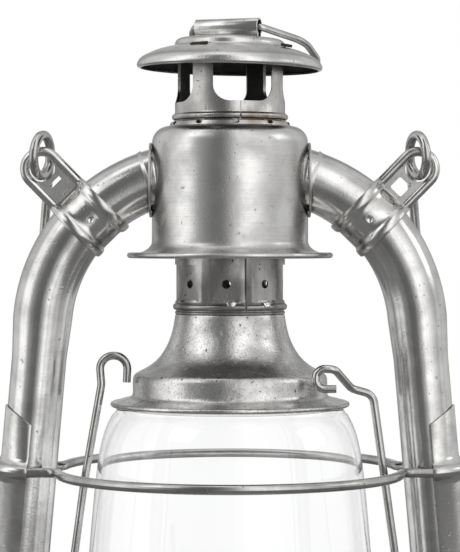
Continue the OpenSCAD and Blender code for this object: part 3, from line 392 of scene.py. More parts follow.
# %% [markdown]
# Every piece is made the same way in the end: its mesh is cleaned, its normals are
# turned outwards, sharp edges are marked, its finishes are added, the object rides on
# the body of the CAD node it stands for, and that node is hidden. Sheet gets
# its thickness from a Solidify modifier, whose inner face can take a second finish,
# and a narrow Bevel catches the light on its edges.

# %% Fasten a piece to the frame
BODY_OF = {
    node: body for body, nodes in frame["record"]["behaviour"]["bodies"].items() for node in nodes}
SHARP = radians(38)


def clean(bm):
    """Merges doubles, turns faces outwards and marks sharp edges."""
    bmesh.ops.remove_doubles(bm, verts=bm.verts, dist=0.002 * MM)
    bmesh.ops.recalc_face_normals(bm, faces=bm.faces)
    for face in bm.faces:
        face.smooth = True
    for edge in bm.edges:
        edge.smooth = edge.calc_face_angle(0) < SHARP


def fasten(name, bm, node, finishes, wall=0.0, edge=0.0):
    """Makes an object of a bmesh and lets it stand for a CAD node."""
    clean(bm)
    mesh = bpy.data.meshes.new(name)
    bm.to_mesh(mesh)
    bm.free()
    piece = bpy.data.objects.new(name, mesh)
    scene.collection.objects.link(piece)
    for finish in finishes:
        mesh.materials.append(finish)
    if wall:
        sheet = piece.modifiers.new("wall", "SOLIDIFY")
        sheet.thickness = wall * MM
        sheet.offset = -1
        sheet.use_even_offset = True
        sheet.material_offset = len(finishes) - 1
    if edge:
        rounding = piece.modifiers.new("edge", "BEVEL")
        rounding.width = edge * MM
        rounding.segments = 2
        rounding.limit_method = "ANGLE"
        rounding.angle_limit = radians(50)
    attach(piece, BODY_OF[node])
    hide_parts(node)
    print(name, "has", len(mesh.polygons), "faces and rides on", BODY_OF[node])
    return piece


# %% [markdown]
# Most of the lantern is spun on a lathe. The tool for that takes a line of radius and
# height in millimetres, puts it beside the axis as a chain of vertices, and spins it
# once round. Arcs in the line are written as a centre, a radius and two angles. Other
# tools here turn a shape to a bearing, join two shapes, and cut one out of another.


# %% Lathe
FULL_TURN, TURNS = 2 * pi, 96


def heading(turn):
    """Turns what points along X to an angle round the axis: 0 is the front, 90 the right."""
    return Matrix.Rotation(radians(turn - 90), 4, "Z")


def verts_of(items):
    """The vertices among what an operator has made."""
    return [item for item in items if isinstance(item, bmesh.types.BMVert)]


def arc(centre, radius, first, last, steps=8):
    """Points of an arc or, with two radii, of an oval. Angles are in degrees."""
    wide, high = radius if isinstance(radius, tuple) else (radius, radius)
    turns = [radians(first + (last - first) * i / steps) for i in range(steps + 1)]
    return [(centre[0] + wide * cos(t), centre[1] + high * sin(t)) for t in turns]


def turned(line, turn=FULL_TURN, steps=TURNS, closed=False, axis=(0, 0, 1)):
    """Spins a line of (x, z) points round the lantern's axis or another."""
    bm = bmesh.new()
    chain = [bm.verts.new((x * MM, 0, z * MM)) for x, z in line]
    links = [bm.edges.new(pair) for pair in zip(chain, chain[1:])]
    if closed:
        links.append(bm.edges.new((chain[-1], chain[0])))
    bmesh.ops.spin(
        bm, geom=chain + links, cent=(0, 0, 0), axis=axis, dvec=(0, 0, 0),
        angle=turn, steps=steps, use_merge=turn == FULL_TURN, use_duplicate=False)
    return bm


def joined(bm, other):
    """Adds the faces of another shape to a shape."""
    mesh = bpy.data.meshes.new("other")
    other.to_mesh(mesh)
    other.free()
    bm.from_mesh(mesh)
    return bm


def cutting(piece, bm):
    """Cuts the shape of a bmesh out of a piece, and keeps the result as its mesh."""
    clean(bm)
    mesh = bpy.data.meshes.new("cutter")
    bm.to_mesh(mesh)
    bm.free()
    cutter = bpy.data.objects.new("cutter", mesh)
    scene.collection.objects.link(cutter)
    knife = piece.modifiers.new("knife", "BOOLEAN")
    knife.object = cutter
    knife.solver = "EXACT"
    bpy.context.view_layer.update()
    ready = piece.evaluated_get(bpy.context.evaluated_depsgraph_get())
    cut = bpy.data.meshes.new_from_object(ready)
    cut.name = piece.data.name
    piece.modifiers.clear()
    piece.data = cut
    bpy.data.objects.remove(cutter)
    trimmed = bmesh.new()
    trimmed.from_mesh(cut)
    bmesh.ops.triangulate(trimmed, faces=[face for face in trimmed.faces if len(face.verts) > 4])
    for edge in trimmed.edges:
        edge.smooth = edge.calc_face_angle(0) < SHARP
    trimmed.to_mesh(cut)
    trimmed.free()
    print(piece.name, "is cut to", len(cut.polygons), "faces")


# %% [markdown]
# The hood is the drum that collects the warm air and sends it down the side tubes. It
# is drawn from one sheet with a round shoulder, and its lower edge flares out to a
# thin brim with a rolled rim.

# %% Hood
HOOD_R, HOOD_TOP, HOOD_FOOT, SHOULDER_R = 23.4, 232.0, 193.4, 5
hood_line = arc((HOOD_R - SHOULDER_R, HOOD_TOP - SHOULDER_R), SHOULDER_R, 92, 0, 10)
hood_line += [(HOOD_R + 0.02, 222), (HOOD_R, 211), (HOOD_R + 0.05, 202)]
hood_line += arc((HOOD_R + 6.7, HOOD_FOOT + 4.2), (6.65, 3.8), 180, 258, 12)
hood_line += arc((30.05, HOOD_FOOT), 0.85, 100, -190, 12)
fasten("hood_drum", turned(hood_line), "hood", [tin_turned], wall=0.5, edge=0.1)

# %% [markdown]
# A short ring under the chimney's bead closes the gap to the hood. It is pierced with
# ten small holes. A cutter with ten pegs, copied by turning, pierces them in one go.


# %% Ring on the hood
def pegs(count, first, height, radius, inner, outer, flat=1.0):
    """Pegs that point outwards all round the axis, to cut round or flattened holes with."""
    bm = bmesh.new()
    for i in range(count):
        facing = heading(first + 360 * i / count)
        place = Matrix.Translation(((inner + outer) / 2 * MM, 0, height * MM))
        bmesh.ops.create_cone(
            bm, cap_ends=True, segments=16, radius1=radius * MM, radius2=radius * MM,
            depth=(outer - inner) * MM,
            matrix=facing @ place @ Matrix.Rotation(pi / 2, 4, "Y") @ Matrix.Diagonal((flat, 1, 1, 1)))
    return bm


ring_line = [
    (17.3, 233.3), (17.75, 233.15), (18.1, 232.3), (18.25, 231.4), (18.3, 226.6), (22.4, 226.4)]
# Its inner face is black and its outer face is the darker tin: painted shade in the ring under the
# chimney's bead.
ring = fasten("hood_collar", turned(ring_line), "hood_top_ring", [tin_leg_stain_and_shade, soot_and_painted_shade], wall=0.5)
cutting(ring, pegs(10, 5.5, 232.75, 1.15, 16, 20, flat=0.48))

# %% [markdown]
# The globe is blown glass with a swelling belly. Its wall is real: the outer line is
# spun and Solidify adds the inner surface, so light bends twice as it does in glass.

# %% Globe
BELLY_R, BELLY_Z, SHOULDER_Z, FOOT_Z = 43.4, 86.8, 145.6, 53.35
UPPER_STEPS, LOWER_STEPS = 22, 16


def upper_glass(share):
    """Radius of the glass between the belly, at 0, and the shoulder, at 1."""
    return BELLY_R - 8 * (0.62 * share ** 1.25 + 0.38 * share ** 10)


globe_line = [(34, 147.95), (34.1, 147.2), (34.6, 146.3)]
globe_line += [
    (upper_glass(1 - i / UPPER_STEPS), SHOULDER_Z + (BELLY_Z - SHOULDER_Z) * i / UPPER_STEPS)
    for i in range(UPPER_STEPS + 1)]
globe_line += [
    (BELLY_R - 12.4 * (i / LOWER_STEPS) ** 2.2, BELLY_Z + (FOOT_Z - BELLY_Z) * i / LOWER_STEPS)
    for i in range(1, LOWER_STEPS + 1)]
globe_line += [(31, 51), (31, 49.35)]
fasten("globe_glass", turned(globe_line), "globe", [glass], wall=1.2, edge=0.25)

# %% [markdown]
# The bell is the plate that sits on the globe: a rolled rim, a low step, and then a
# trumpet curve that draws in to the chimney's neck. It is the most pitted piece.

# %% Bell
bell_line = [(15.5, 182.2), (15.5, 175.9), (16.3, 175.8)]
bell_line += [
    (16.5, 175.3), (16.66, 174.1), (16.95, 172.4), (17.3, 170.8), (17.75, 169.2), (18.3, 167.7),
    (19, 166.2), (19.85, 164.7), (20.9, 163.2), (22.2, 161.8), (23.8, 160.5), (25.6, 159.4),
    (27.2, 158.6), (28.3, 158.0), (28.9, 157.3), (29.15, 156.4)]
bell_line += [(29.2, 155), (29.15, 152.6), (29.3, 151.6), (29.8, 151.05), (30.6, 150.75), (32.6, 150.3)]
bell_line += [(34.2, 149.75), (35, 149.5)]
bell_line += arc((35.15, 148.85), 0.75, 80, -190, 9)
fasten("bell_plate", turned(bell_line), "globe_top_plate", [tin_bell, soot_and_painted_shade], wall=0.55, edge=0.1)

# %% [markdown]
# Wires and tubes are bent round pegs in a workshop. The tool below does the same: it
# starts with one ring of vertices, pushes it straight ahead with an extrude, and
# swings it round a bend with a spin. Each vertex remembers its place in the cross
# section in an attribute, and because new rings copy it, the drawn lines of the metal
# follow the wire through every bend.


# %% Bender for wires and tubes
class Bender:
    """A ring of vertices that is pushed along straight runs and round bends."""

    def __init__(self, start, way, radius, sides=16, capped=True):
        self.bm = bmesh.new()
        section = self.bm.verts.layers.float_vector.new("section")
        self.at = Vector(start)
        self.way = Vector(way).normalized()
        turn = self.way.to_track_quat("Z", "Y").to_matrix().to_4x4()
        place = Matrix.Translation(self.at * MM) @ turn
        made = bmesh.ops.create_circle(
            self.bm, cap_ends=capped, segments=sides, radius=radius * MM, matrix=place)
        self.ring = made["verts"]
        for vert in self.ring:
            vert[section] = place.inverted() @ vert.co

    def rim(self):
        """Edges of the leading ring."""
        lead = set(self.ring)
        return list({edge for vert in lead for edge in vert.link_edges if set(edge.verts) <= lead})

    def run(self, length):
        if length <= 0.0005:
            return self
        made = bmesh.ops.extrude_edge_only(self.bm, edges=self.rim())["geom"]
        self.ring = verts_of(made)
        bmesh.ops.translate(self.bm, verts=self.ring, vec=self.way * length * MM)
        self.at = self.at + self.way * length
        return self

    def bend(self, towards, radius, angle, step=7.5):
        """Turns by an angle in degrees, round a peg that lies towards a side."""
        side = Vector(towards)
        side = (side - self.way * side.dot(self.way)).normalized()
        peg = self.at + side * radius
        axis = self.way.cross(side)
        made = bmesh.ops.spin(
            self.bm, geom=self.ring + self.rim(), cent=peg * MM, axis=axis, dvec=(0, 0, 0),
            angle=radians(angle), steps=max(2, round(angle / step)), use_merge=False,
            use_duplicate=False)
        self.ring = verts_of(made["geom_last"])
        turn = Matrix.Rotation(radians(angle), 3, axis)
        self.at = peg + turn @ (self.at - peg)
        self.way = (turn @ self.way).normalized()
        return self

    def follow(self, corners, bends):
        """Goes on through corner points, with a bending radius for all but the last."""
        corners = [Vector(corner) for corner in corners]
        for corner, beyond, radius in zip(corners, corners[1:], bends):
            ahead = (beyond - corner).normalized()
            angle = self.way.angle(ahead)
            back = radius * tan(angle / 2)
            self.run((corner - self.at).length - back)
            self.bend(ahead, radius, degrees(angle))
        return self.run((corners[-1] - self.at).length)

    def end(self):
        """Closes the end with a face."""
        bmesh.ops.contextual_create(self.bm, geom=self.rim())
        return self.bm


def bent_wire(points, bends, radius):
    """An open wire through points."""
    first, second = Vector(points[0]), Vector(points[1])
    return Bender(first, second - first, radius).follow(points[1:], bends).end()


def looped_wire(points, bends, radius):
    """A closed wire through points: it starts and ends half way along its last side."""
    points = [Vector(point) for point in points]
    middle = (points[-1] + points[0]) / 2
    loop = Bender(middle, points[0] - middle, radius, capped=False)
    return loop.follow(points + [middle], bends).bm


def mirrored(bm):
    """The same shape on the other side of the lantern."""
    bmesh.ops.scale(bm, vec=(-1, 1, 1), verts=bm.verts)
    return bm


def fasten_pair(name, make, node, finishes, **sheet):
    """Fastens what make draws for the right side, and its mirror image on the left."""
    fasten(f"right_{name}", make(), f"right_{node}", finishes, **sheet)
    fasten(f"left_{name}", mirrored(make()), f"left_{node}", finishes, **sheet)


print("bender ready")

# %% [markdown]
# The two side tubes are rolled from sheet and closed with a lock seam, which shows as
# a low ridge along the inner side. The ridge is made in the first ring, so it follows
# the whole tube: an arch at the top, a straight run that leans out, and a tight bend
# above the tank. The arch is a little wider than the rest, so the ring is scaled down
# below it, and a plane cuts the tube's mouth off inside the hood.

# %% Side tubes
TUBE_R, ARCH_TUBE_R, TAPER_L = 8.2, 8.9, 12.0
ARCH_R, ARCH_X, ARCH_Z, ARCH_START = 48.0, 8.4, 170.5, 79.0
LEAN, TUBE_MOUTH_X = 5, 21.5
LOW_BEND_R, LOW_BEND_Z, TUBE_FOOT_X = 20, 60.24, 35
SEAM_SIDE = Vector((0, -0.62, -0.78))
SEAM_RISE, SEAM_HALF_TURN = 0.4, 9


def on_arch(angle, out=0.0):
    """Point at an angle above level on the right tube's arch, moved outwards."""
    reach = ARCH_R + out
    return Vector((ARCH_X + reach * cos(radians(angle)), 0, ARCH_Z + reach * sin(radians(angle))))


def side_tube():
    start = on_arch(ARCH_START)
    way = Vector((sin(radians(ARCH_START)), 0, -cos(radians(ARCH_START))))
    tube = Bender(start, way, ARCH_TUBE_R, sides=64, capped=False)
    for vert in tube.ring:
        out = (vert.co - start * MM).normalized()
        if degrees(out.angle(SEAM_SIDE)) < SEAM_HALF_TURN:
            vert.co += out * SEAM_RISE * MM
    tube.bend(Vector((ARCH_X, 0, ARCH_Z)) - start, ARCH_R, ARCH_START - LEAN, 3)
    straight = (tube.at.z - LOW_BEND_Z) / cos(radians(LEAN))
    tube.run(TAPER_L)
    taper = Vector.Fill(3, TUBE_R / ARCH_TUBE_R)
    bmesh.ops.scale(tube.bm, vec=taper, space=Matrix.Translation(-tube.at * MM), verts=tube.ring)
    tube.run(straight - TAPER_L)
    tube.bend((-1, 0, 0), LOW_BEND_R, 90 + LEAN, 4)
    tube.run(tube.at.x - TUBE_FOOT_X)
    bmesh.ops.bisect_plane(
        tube.bm, geom=tube.bm.verts[:] + tube.bm.edges[:] + tube.bm.faces[:],
        plane_co=(TUBE_MOUTH_X * MM, 0, 0), plane_no=(-1, 0, 0), clear_outer=True)
    return tube.bm


fasten_pair("air_tube", side_tube, "side_tube", [tin_tube], wall=0.6)

# %% [markdown]
# Where a tube enters the hood, a thin dished washer covers the joint. It stands almost
# upright and lies against the hood at its side only, so a dark gap opens towards the
# front. It is spun in the lathe and then turned onto the tube.

# %% Tube washers
WASHER_R, WASHER_X = 11.3, 23.9
WASHER_TURN = degrees(acos((WASHER_X - ARCH_X) / ARCH_R))


def tube_washer():
    """An upright dished disc beside the hood, and a short neck along the tube."""
    rim = WASHER_R - 0.4
    disc_line = [(8.4, 0.35), (9.4, 0.35), (9.9, 0.15), (10.3, 0.0), (rim, 0.05)]
    disc_line += arc((rim, -0.1), 0.38, 80, -80, 6) + [(10.3, -0.35), (9.2, -0.3), (8.4, -0.3)]
    neck_line = [(8.8, 0), (9.3, 0), (9.06, 0.5), (8.96, 1.2), (8.8, 1.2)]
    disc, neck = turned(disc_line, closed=True), turned(neck_line, closed=True)
    place = Matrix.Translation(on_arch(WASHER_TURN) * MM)
    bmesh.ops.transform(disc, matrix=place @ Matrix.Rotation(pi / 2, 4, "Y"), verts=disc.verts)
    along = Matrix.Rotation(radians(180 - WASHER_TURN), 4, "Y")
    bmesh.ops.transform(neck, matrix=place @ along, verts=neck.verts)
    return joined(disc, neck)


fasten_pair("washer", tube_washer, "tube_collar", [tin_turned])

# %% [markdown]
# The chimney rises through the hood. Below the hood its neck is pressed into eight
# flat panels, each with an air hole, above a bead. The upper end is cut into four
# legs that carry the cap. The tube is spun first, and cutters then take away the
# windows between the legs, the panels, the holes and the seams. The lower corners of
# a window are rounded by bevelling two vertices of its outline before it is pulled to
# a block. Two drops of solder sit on the bead, and inside the hood a flat ring is the
# seat of the spring.

# %% Chimney neck and legs
CHIMNEY_R, BEAD_R = 16.5, 16.9
neck_line = [(16.2, 175.85), (16.5, 176.0), (16.55, 176.5), (16.15, 176.75), (16.15, 177.0)]
neck_line += arc((16.3, 178.05), (0.85, 1.0), -80, 85, 8) + [(16.5, 179.3), (16.5, 212)]
neck_line += [(15.2, 212), (15.2, 175.85)]
# The neck's darker finish is painted shade under the hood.
neck = fasten("chimney_neck", turned(neck_line, closed=True), "chimney_tube", [tin_neck_shaded])


def blocks(count, first, low, high, half_width, inner, outer):
    """Square blocks that point outwards all round the axis."""
    bm = bmesh.new()
    for i in range(count):
        facing = heading(first + 360 * i / count)
        middle = Vector((inner + outer, 0, low + high)) / 2 * MM
        span = Matrix.Diagonal((*(Vector((outer - inner, 2 * half_width, high - low)) * MM), 1))
        bmesh.ops.create_cube(bm, size=1, matrix=facing @ Matrix.Translation(middle) @ span)
    return bm


cutting(neck, blocks(8, -4, 179.9, 190.6, 5.4, CHIMNEY_R - 0.8, 20))
cutting(neck, blocks(8, -4, 179.55, 180.2, 3.7, CHIMNEY_R - 1.2, 20))
cutting(neck, pegs(8, -4, 184.95, 1.3, 12, 20))
cutting(neck, blocks(1, 16, 176.9, 211, 0.3, CHIMNEY_R - 1.1, 18))


def solder(turn, height):
    """A drop of solder on the neck's bead: a ball that is pressed flat and pulled about."""
    bm = bmesh.new()
    bmesh.ops.create_icosphere(bm, subdivisions=3, radius=MM)
    for vert in bm.verts:
        x, _, z = vert.co / MM
        vert.co *= 1 + 0.18 * sin(3.1 * x + 1.7 * z) + 0.12 * sin(4.3 * z - 2.2 * x)
    place = heading(turn) @ Matrix.Translation(Vector((BEAD_R, 0, height)) * MM)
    bmesh.ops.transform(bm, matrix=place @ Matrix.Diagonal((0.6, 1.25, 0.95, 1)), verts=bm.verts)
    return bm


for i, (turn, height) in enumerate([(1.5, 179.0), (40.2, 178.8)]):
    fasten(f"solder_drop_{i}", solder(turn, height), "chimney_tube", [tin_strap])


def windows(count, first, low, high, half_width, rounding, inner, outer):
    """Blocks with rounded lower corners that point outwards all round the axis."""
    bm = bmesh.new()
    for i in range(count):
        facing = heading(first + 360 * i / count)
        upright = Matrix.Translation((inner * MM, 0, 0)) @ Matrix.Rotation(pi / 2, 4, "Y")
        corners = [(-high, -half_width), (-low, -half_width), (-low, half_width), (-high, half_width)]
        outline = [bm.verts.new(facing @ upright @ (Vector((x, y, 0)) * MM)) for x, y in corners]
        bm.faces.new(outline)
        bmesh.ops.bevel(
            bm, geom=outline[1:3], affect="VERTICES", offset=rounding * MM, segments=8,
            profile=0.5, material=-1)
        front = bmesh.ops.extrude_face_region(bm, geom=[outline[0].link_faces[0]])["geom"]
        push = facing.to_3x3() @ Vector((outer - inner, 0, 0)) * MM
        bmesh.ops.translate(bm, verts=verts_of(front), vec=push)
    return bm


crown_line = [(16.5, 212), (16.5, 233.2)] + arc((16.5, 234.7), (0.95, 1.0), -80, 80, 8)
crown_line += [(16.5, 236.2), (16.55, 240), (16.5, 255.5)]
# The legs' darker finish is painted shade under the cap.
crown = fasten("chimney_legs", turned(crown_line), "chimney_tube", [tin_leg_stain_and_shade, soot_and_painted_shade], wall=0.7)
cutting(crown, windows(4, 15.5, 238.9, 260, 9.0, 4.6, 6, 24))
cutting(crown, blocks(1, 10.6, 231, 241, 0.2, CHIMNEY_R - 0.4, 18))

seat_line = [(16.45, 196.4), (21.1, 196.4), (21.5, 196.15), (21.5, 195.7)]
fasten("spring_seat", turned(seat_line), "chimney_tube", [tin_leg_stain_and_shade], wall=0.5)

# %% [markdown]
# The cap keeps rain out of the chimney. It has a flat crown with a round edge and a
# wide brim with a rolled rim, and its underside is black. The legs' tabs come through
# four slits beside the crown and are bent over.

# %% Cap
CAP_LEAN, CAP_MIDDLE, TAB_TURN = radians(1.1), Vector((0, 0, 0.256)), -29.5
to_middle, from_middle = Matrix.Translation(-CAP_MIDDLE), Matrix.Translation(CAP_MIDDLE)
CAP_TILT = from_middle @ Matrix.Rotation(CAP_LEAN, 4, "Y") @ to_middle
cap_line = [(0, 258.3), (8, 258.3), (12.8, 258.2)] + arc((14.4, 256.4), (2.1, 1.75), 80, 5, 8)
cap_line += [
    (16.65, 256.1), (16.95, 255.75), (17.6, 255.55), (19.4, 255.2), (21.4, 254.65), (23.4, 253.85),
    (25.2, 253.0), (26.4, 252.3), (27.2, 251.5), (27.65, 250.7)]
cap_line += arc((26.9, 249.95), 0.95, 15, -105, 7)
cap_disc = turned(cap_line)
bmesh.ops.transform(cap_disc, matrix=CAP_TILT, verts=cap_disc.verts)
cap = fasten("cap_sheet", cap_disc, "chimney_cap", [tin_crown, soot_and_painted_shade], wall=0.5)
cutting(cap, blocks(4, TAB_TURN, 250, 262, 3.2, 16.55, 17.5))


def tab(turn):
    """A leg's tab, bent over on the brim."""
    bm = bmesh.new()
    middle = heading(turn) @ Matrix.Translation(Vector((19.0, 0.4, 255.55)) * MM)
    lying = middle @ Matrix.Rotation(radians(14), 4, "Y") @ Matrix.Rotation(radians(6), 4, "Z")
    size = Matrix.Diagonal((1.8 * MM, 5.2 * MM, 0.85 * MM, 1))
    bmesh.ops.create_cube(bm, size=1, matrix=lying @ size)
    bmesh.ops.bevel(
        bm, geom=bm.edges[:], affect="EDGES", offset=0.22 * MM, segments=2, profile=0.5, material=-1)
    return bm


# The tabs are wholly in the black finish: painted shade where they come through the slits.
for i in range(4):
    fasten(f"leg_tab_{i}", tab(TAB_TURN + 90 * i), "chimney_tube", [soot_and_painted_shade])

# %% [markdown]
# A strap of sheet is rolled into a small open tube and soldered to the crown. The lift
# ring, a bent wire, turns in it and lies back over the brim.

# %% Strap and lift ring
STRAP_MIDDLE, STRAP_TURN, STRAP_HALF = Vector((-0.6, 0, 261.7)), radians(-19.5), 10
RING_DROP, RING_ROLL, RING_R = radians(-19.2), radians(1.5), 1.1
STRAP_PLACE = Matrix.Translation(STRAP_MIDDLE * MM) @ Matrix.Rotation(STRAP_TURN, 4, "Z")
roll = bmesh.new()
sheet_line = [(4.0, -3.35), (2.6, -3.3), (1.5, -2.95)] + arc((0, 0), 2.6, -55, 238, 26)
sheet_line += [(-1.6, -2.95), (-2.7, -3.3), (-4.0, -3.35)]
chain = [roll.verts.new((-STRAP_HALF * MM, y * MM, z * MM)) for y, z in sheet_line]
links = [roll.edges.new(pair) for pair in zip(chain, chain[1:])]
long_way = bmesh.ops.extrude_edge_only(roll, edges=links)["geom"]
bmesh.ops.translate(roll, verts=verts_of(long_way), vec=(2 * STRAP_HALF * MM, 0, 0))
bmesh.ops.transform(roll, matrix=STRAP_PLACE, verts=roll.verts)
# Its inner face is black: painted shade inside the roll.
fasten("strap_roll", roll, "ring_strap", [tin_strap, soot_and_painted_shade], wall=0.55, edge=0.12)

RING_PLACE = STRAP_PLACE @ Matrix.Rotation(RING_DROP, 4, "X") @ Matrix.Rotation(RING_ROLL, 4, "Y")
ring_points = [(10.5, 0, 0), (21, 11, 0), (21, 33, 0), (-19.5, 33, 0), (-13, 4.5, 0), (-10.5, 0, 0)]
ring_wire = looped_wire(ring_points, [3, 10, 11, 11, 4, 2], RING_R)
bmesh.ops.transform(ring_wire, matrix=RING_PLACE, verts=ring_wire.verts)
fasten("lift_wire", ring_wire, "lift_ring", [wire_drawn])

# %% [markdown]
# A strap with raised edges is wrapped round each tube, and its two ends lie together
# as an ear that holds the bail. The band round the tube is a straight ring, spun from
# one outline. The ear is a flat plate with the same raised edge round it: a bent wire
# makes the edge, and cutters open the plate for the bail. A ball presses a punch mark
# into the band. All of it is made upright and then set on the arch, where X runs along
# the tube and Z points out.

# %% Ear bands
EAR_TURN, EAR_REACH, EAR_HOLE_R, EDGE_X, EDGE_R = 45.5, 20.5, 3.9, 5.15, 1.45
BAND_HALF, BAND_R, EAR_FOOT, PLATE = 6.7, 9.6, 8, 1.3
PUNCH_R, PUNCH_OUT, PUNCH_LOW = 1.5, 0.75, 1.0


def stand_on_arch(bm):
    """Sets a shape on the right arch: X runs along the tube, Z points out."""
    place = Matrix.Translation(on_arch(EAR_TURN) * MM)
    upright = Matrix.Rotation(radians(90 - EAR_TURN), 4, "Y") @ Matrix.Scale(-1, 4, (1, 0, 0))
    bmesh.ops.transform(bm, matrix=place @ upright, verts=bm.verts)
    return bm


def ear_ring():
    """The band: a closed outline of length and radius, spun round the tube's line."""
    edge = [
        (BAND_HALF, 8.8), (BAND_HALF, 9.85), (6.5, 10.2), (6.05, 10.38), (5.3, 10.42), (4.6, 10.36),
        (4.05, 10.15), (3.65, 9.8), (3.3, BAND_R), (2, BAND_R - 0.03)]
    outline = edge + [(-x, r) for x, r in reversed(edge)]
    return stand_on_arch(turned(outline, steps=72, closed=True, axis=(1, 0, 0)))


def ear_edge():
    """The ear's raised edge: it leaves the band, goes round the hole and comes back."""
    loop = Bender((-EDGE_X, 0, EAR_FOOT), (0, 0, 1), EDGE_R, 20)
    loop.run(EAR_REACH - EAR_FOOT).bend((1, 0, 0), EDGE_X, 180, 7.5).run(EAR_REACH - EAR_FOOT)
    return stand_on_arch(loop.end())


def ear_plate():
    """The plate inside the edge, a slab with a round end."""
    bm = bmesh.new()
    line = [(EDGE_X, EAR_FOOT)] + arc((0, EAR_REACH), EDGE_X, 0, 180, 24) + [(-EDGE_X, EAR_FOOT)]
    bm.faces.new([bm.verts.new((x * MM, -PLATE / 2 * MM, z * MM)) for x, z in line])
    front = bmesh.ops.extrude_face_region(bm, geom=bm.faces[:])["geom"]
    bmesh.ops.translate(bm, verts=verts_of(front), vec=(0, PLATE * MM, 0))
    return stand_on_arch(bm)


def ear_opening(low, high, half):
    """What is cut from an ear's plate: the round hole, and an opening below it."""
    bm = bmesh.new()
    lying = Matrix.Rotation(pi / 2, 4, "X")
    bmesh.ops.create_cone(
        bm, cap_ends=True, segments=40, radius1=EAR_HOLE_R * MM, radius2=EAR_HOLE_R * MM,
        depth=9 * MM, matrix=Matrix.Translation((0, 0, EAR_REACH * MM)) @ lying)
    block = bmesh.ops.create_cube(
        bm, size=1, matrix=Matrix.Translation((0, 0, (low + high) / 2 * MM))
        @ Matrix.Diagonal((2 * half * MM, 9 * MM, (high - low) * MM, 1)))["verts"]
    across = {edge for vert in block for edge in vert.link_edges
              if abs(edge.verts[0].co.y - edge.verts[1].co.y) > 5 * MM}
    rounding = min(half, (high - low) / 2) * 0.3
    bmesh.ops.bevel(
        bm, geom=list(across), affect="EDGES", offset=rounding * MM, segments=5, profile=0.5,
        material=-1)
    return stand_on_arch(bm)


def punch():
    """A ball in front of the band, to press the punch mark with."""
    bm = bmesh.new()
    bmesh.ops.create_uvsphere(
        bm, u_segments=24, v_segments=16, radius=PUNCH_R * MM,
        matrix=Matrix.Translation(Vector((0, -BAND_R - PUNCH_OUT, -PUNCH_LOW)) * MM))
    return stand_on_arch(bm)


# The right ear has a square opening, and the left one only a narrow slit
for side, opening in (("right", (10.7, 15.1, 2.2)), ("left", (14.2, 15.4, 2.1))):
    turn_over = mirrored if side == "left" else (lambda bm: bm)
    band = fasten(f"{side}_band", turn_over(ear_ring()), f"{side}_ear_band", [tin_strap])
    cutting(band, turn_over(punch()))
    fasten(f"{side}_ear_edge", turn_over(ear_edge()), f"{side}_ear_band", [tin_strap])
    plate = fasten(f"{side}_ear_plate", turn_over(ear_plate()), f"{side}_ear_band", [tin_strap])
    cutting(plate, turn_over(ear_opening(*opening)))

# %% [markdown]
# On the outside of each tube lies a half round sleeve with a slanted top. A bead in it
# clasps the guard wire. The sleeve is half a turn of the lathe, laid along the lean of
# the tube, and its upper end is cut by one slanted plane.

# %% Tube sleeves
SLEEVE_LOW, SLEEVE_TOP, GUARD_Z = 68.0, 148.0, 129.0
SLEEVE_IN_R, SLEEVE_R, SLANT = 8.3, 8.85, 5


def tube_middle(height):
    """Distance of the straight tube's centre line from the lantern's axis."""
    top = on_arch(LEAN)
    return top.x + (top.z - height) * tan(radians(LEAN))


def sleeve():
    line = [(SLEEVE_IN_R, SLEEVE_LOW), (SLEEVE_R, SLEEVE_LOW), (SLEEVE_R, GUARD_Z - 4)]
    line += [(9.2, GUARD_Z - 3), (10.4, GUARD_Z - 2)] + arc((10, GUARD_Z), (2.05, 1.9), -60, 60, 8)
    line += [(10.4, GUARD_Z + 2), (9.2, GUARD_Z + 3), (SLEEVE_R, GUARD_Z + 4)]
    line += [(SLEEVE_R, SLEEVE_TOP), (SLEEVE_IN_R, SLEEVE_TOP)]
    bm = turned(line, turn=pi, steps=36)
    bmesh.ops.rotate(bm, verts=bm.verts, cent=(0, 0, 0), matrix=Matrix.Rotation(-pi / 2, 3, "Z"))
    bmesh.ops.bisect_plane(
        bm, geom=bm.verts[:] + bm.edges[:] + bm.faces[:],
        plane_co=Vector((SLEEVE_R, 0, SLEEVE_TOP)) * MM,
        plane_no=Vector((-SLANT, 0, SLEEVE_R)).normalized(), clear_outer=True)
    lean = Matrix.Rotation(radians(-LEAN), 4, "Y")
    foot = Matrix.Translation(Vector((tube_middle(GUARD_Z), 0, GUARD_Z)) * MM)
    low = Matrix.Translation(Vector((0, 0, -GUARD_Z)) * MM)
    bmesh.ops.transform(bm, matrix=foot @ lean @ low, verts=bm.verts)
    return bm


fasten_pair("half_sleeve", sleeve, "tube_sleeve", [tin_strap], wall=0.4, edge=0.1)

# %% [markdown]
# The guard is one closed wire round the globe. In front and behind it is an arc, and
# at each tube it turns in a small hollow bend, follows the tube and comes back.

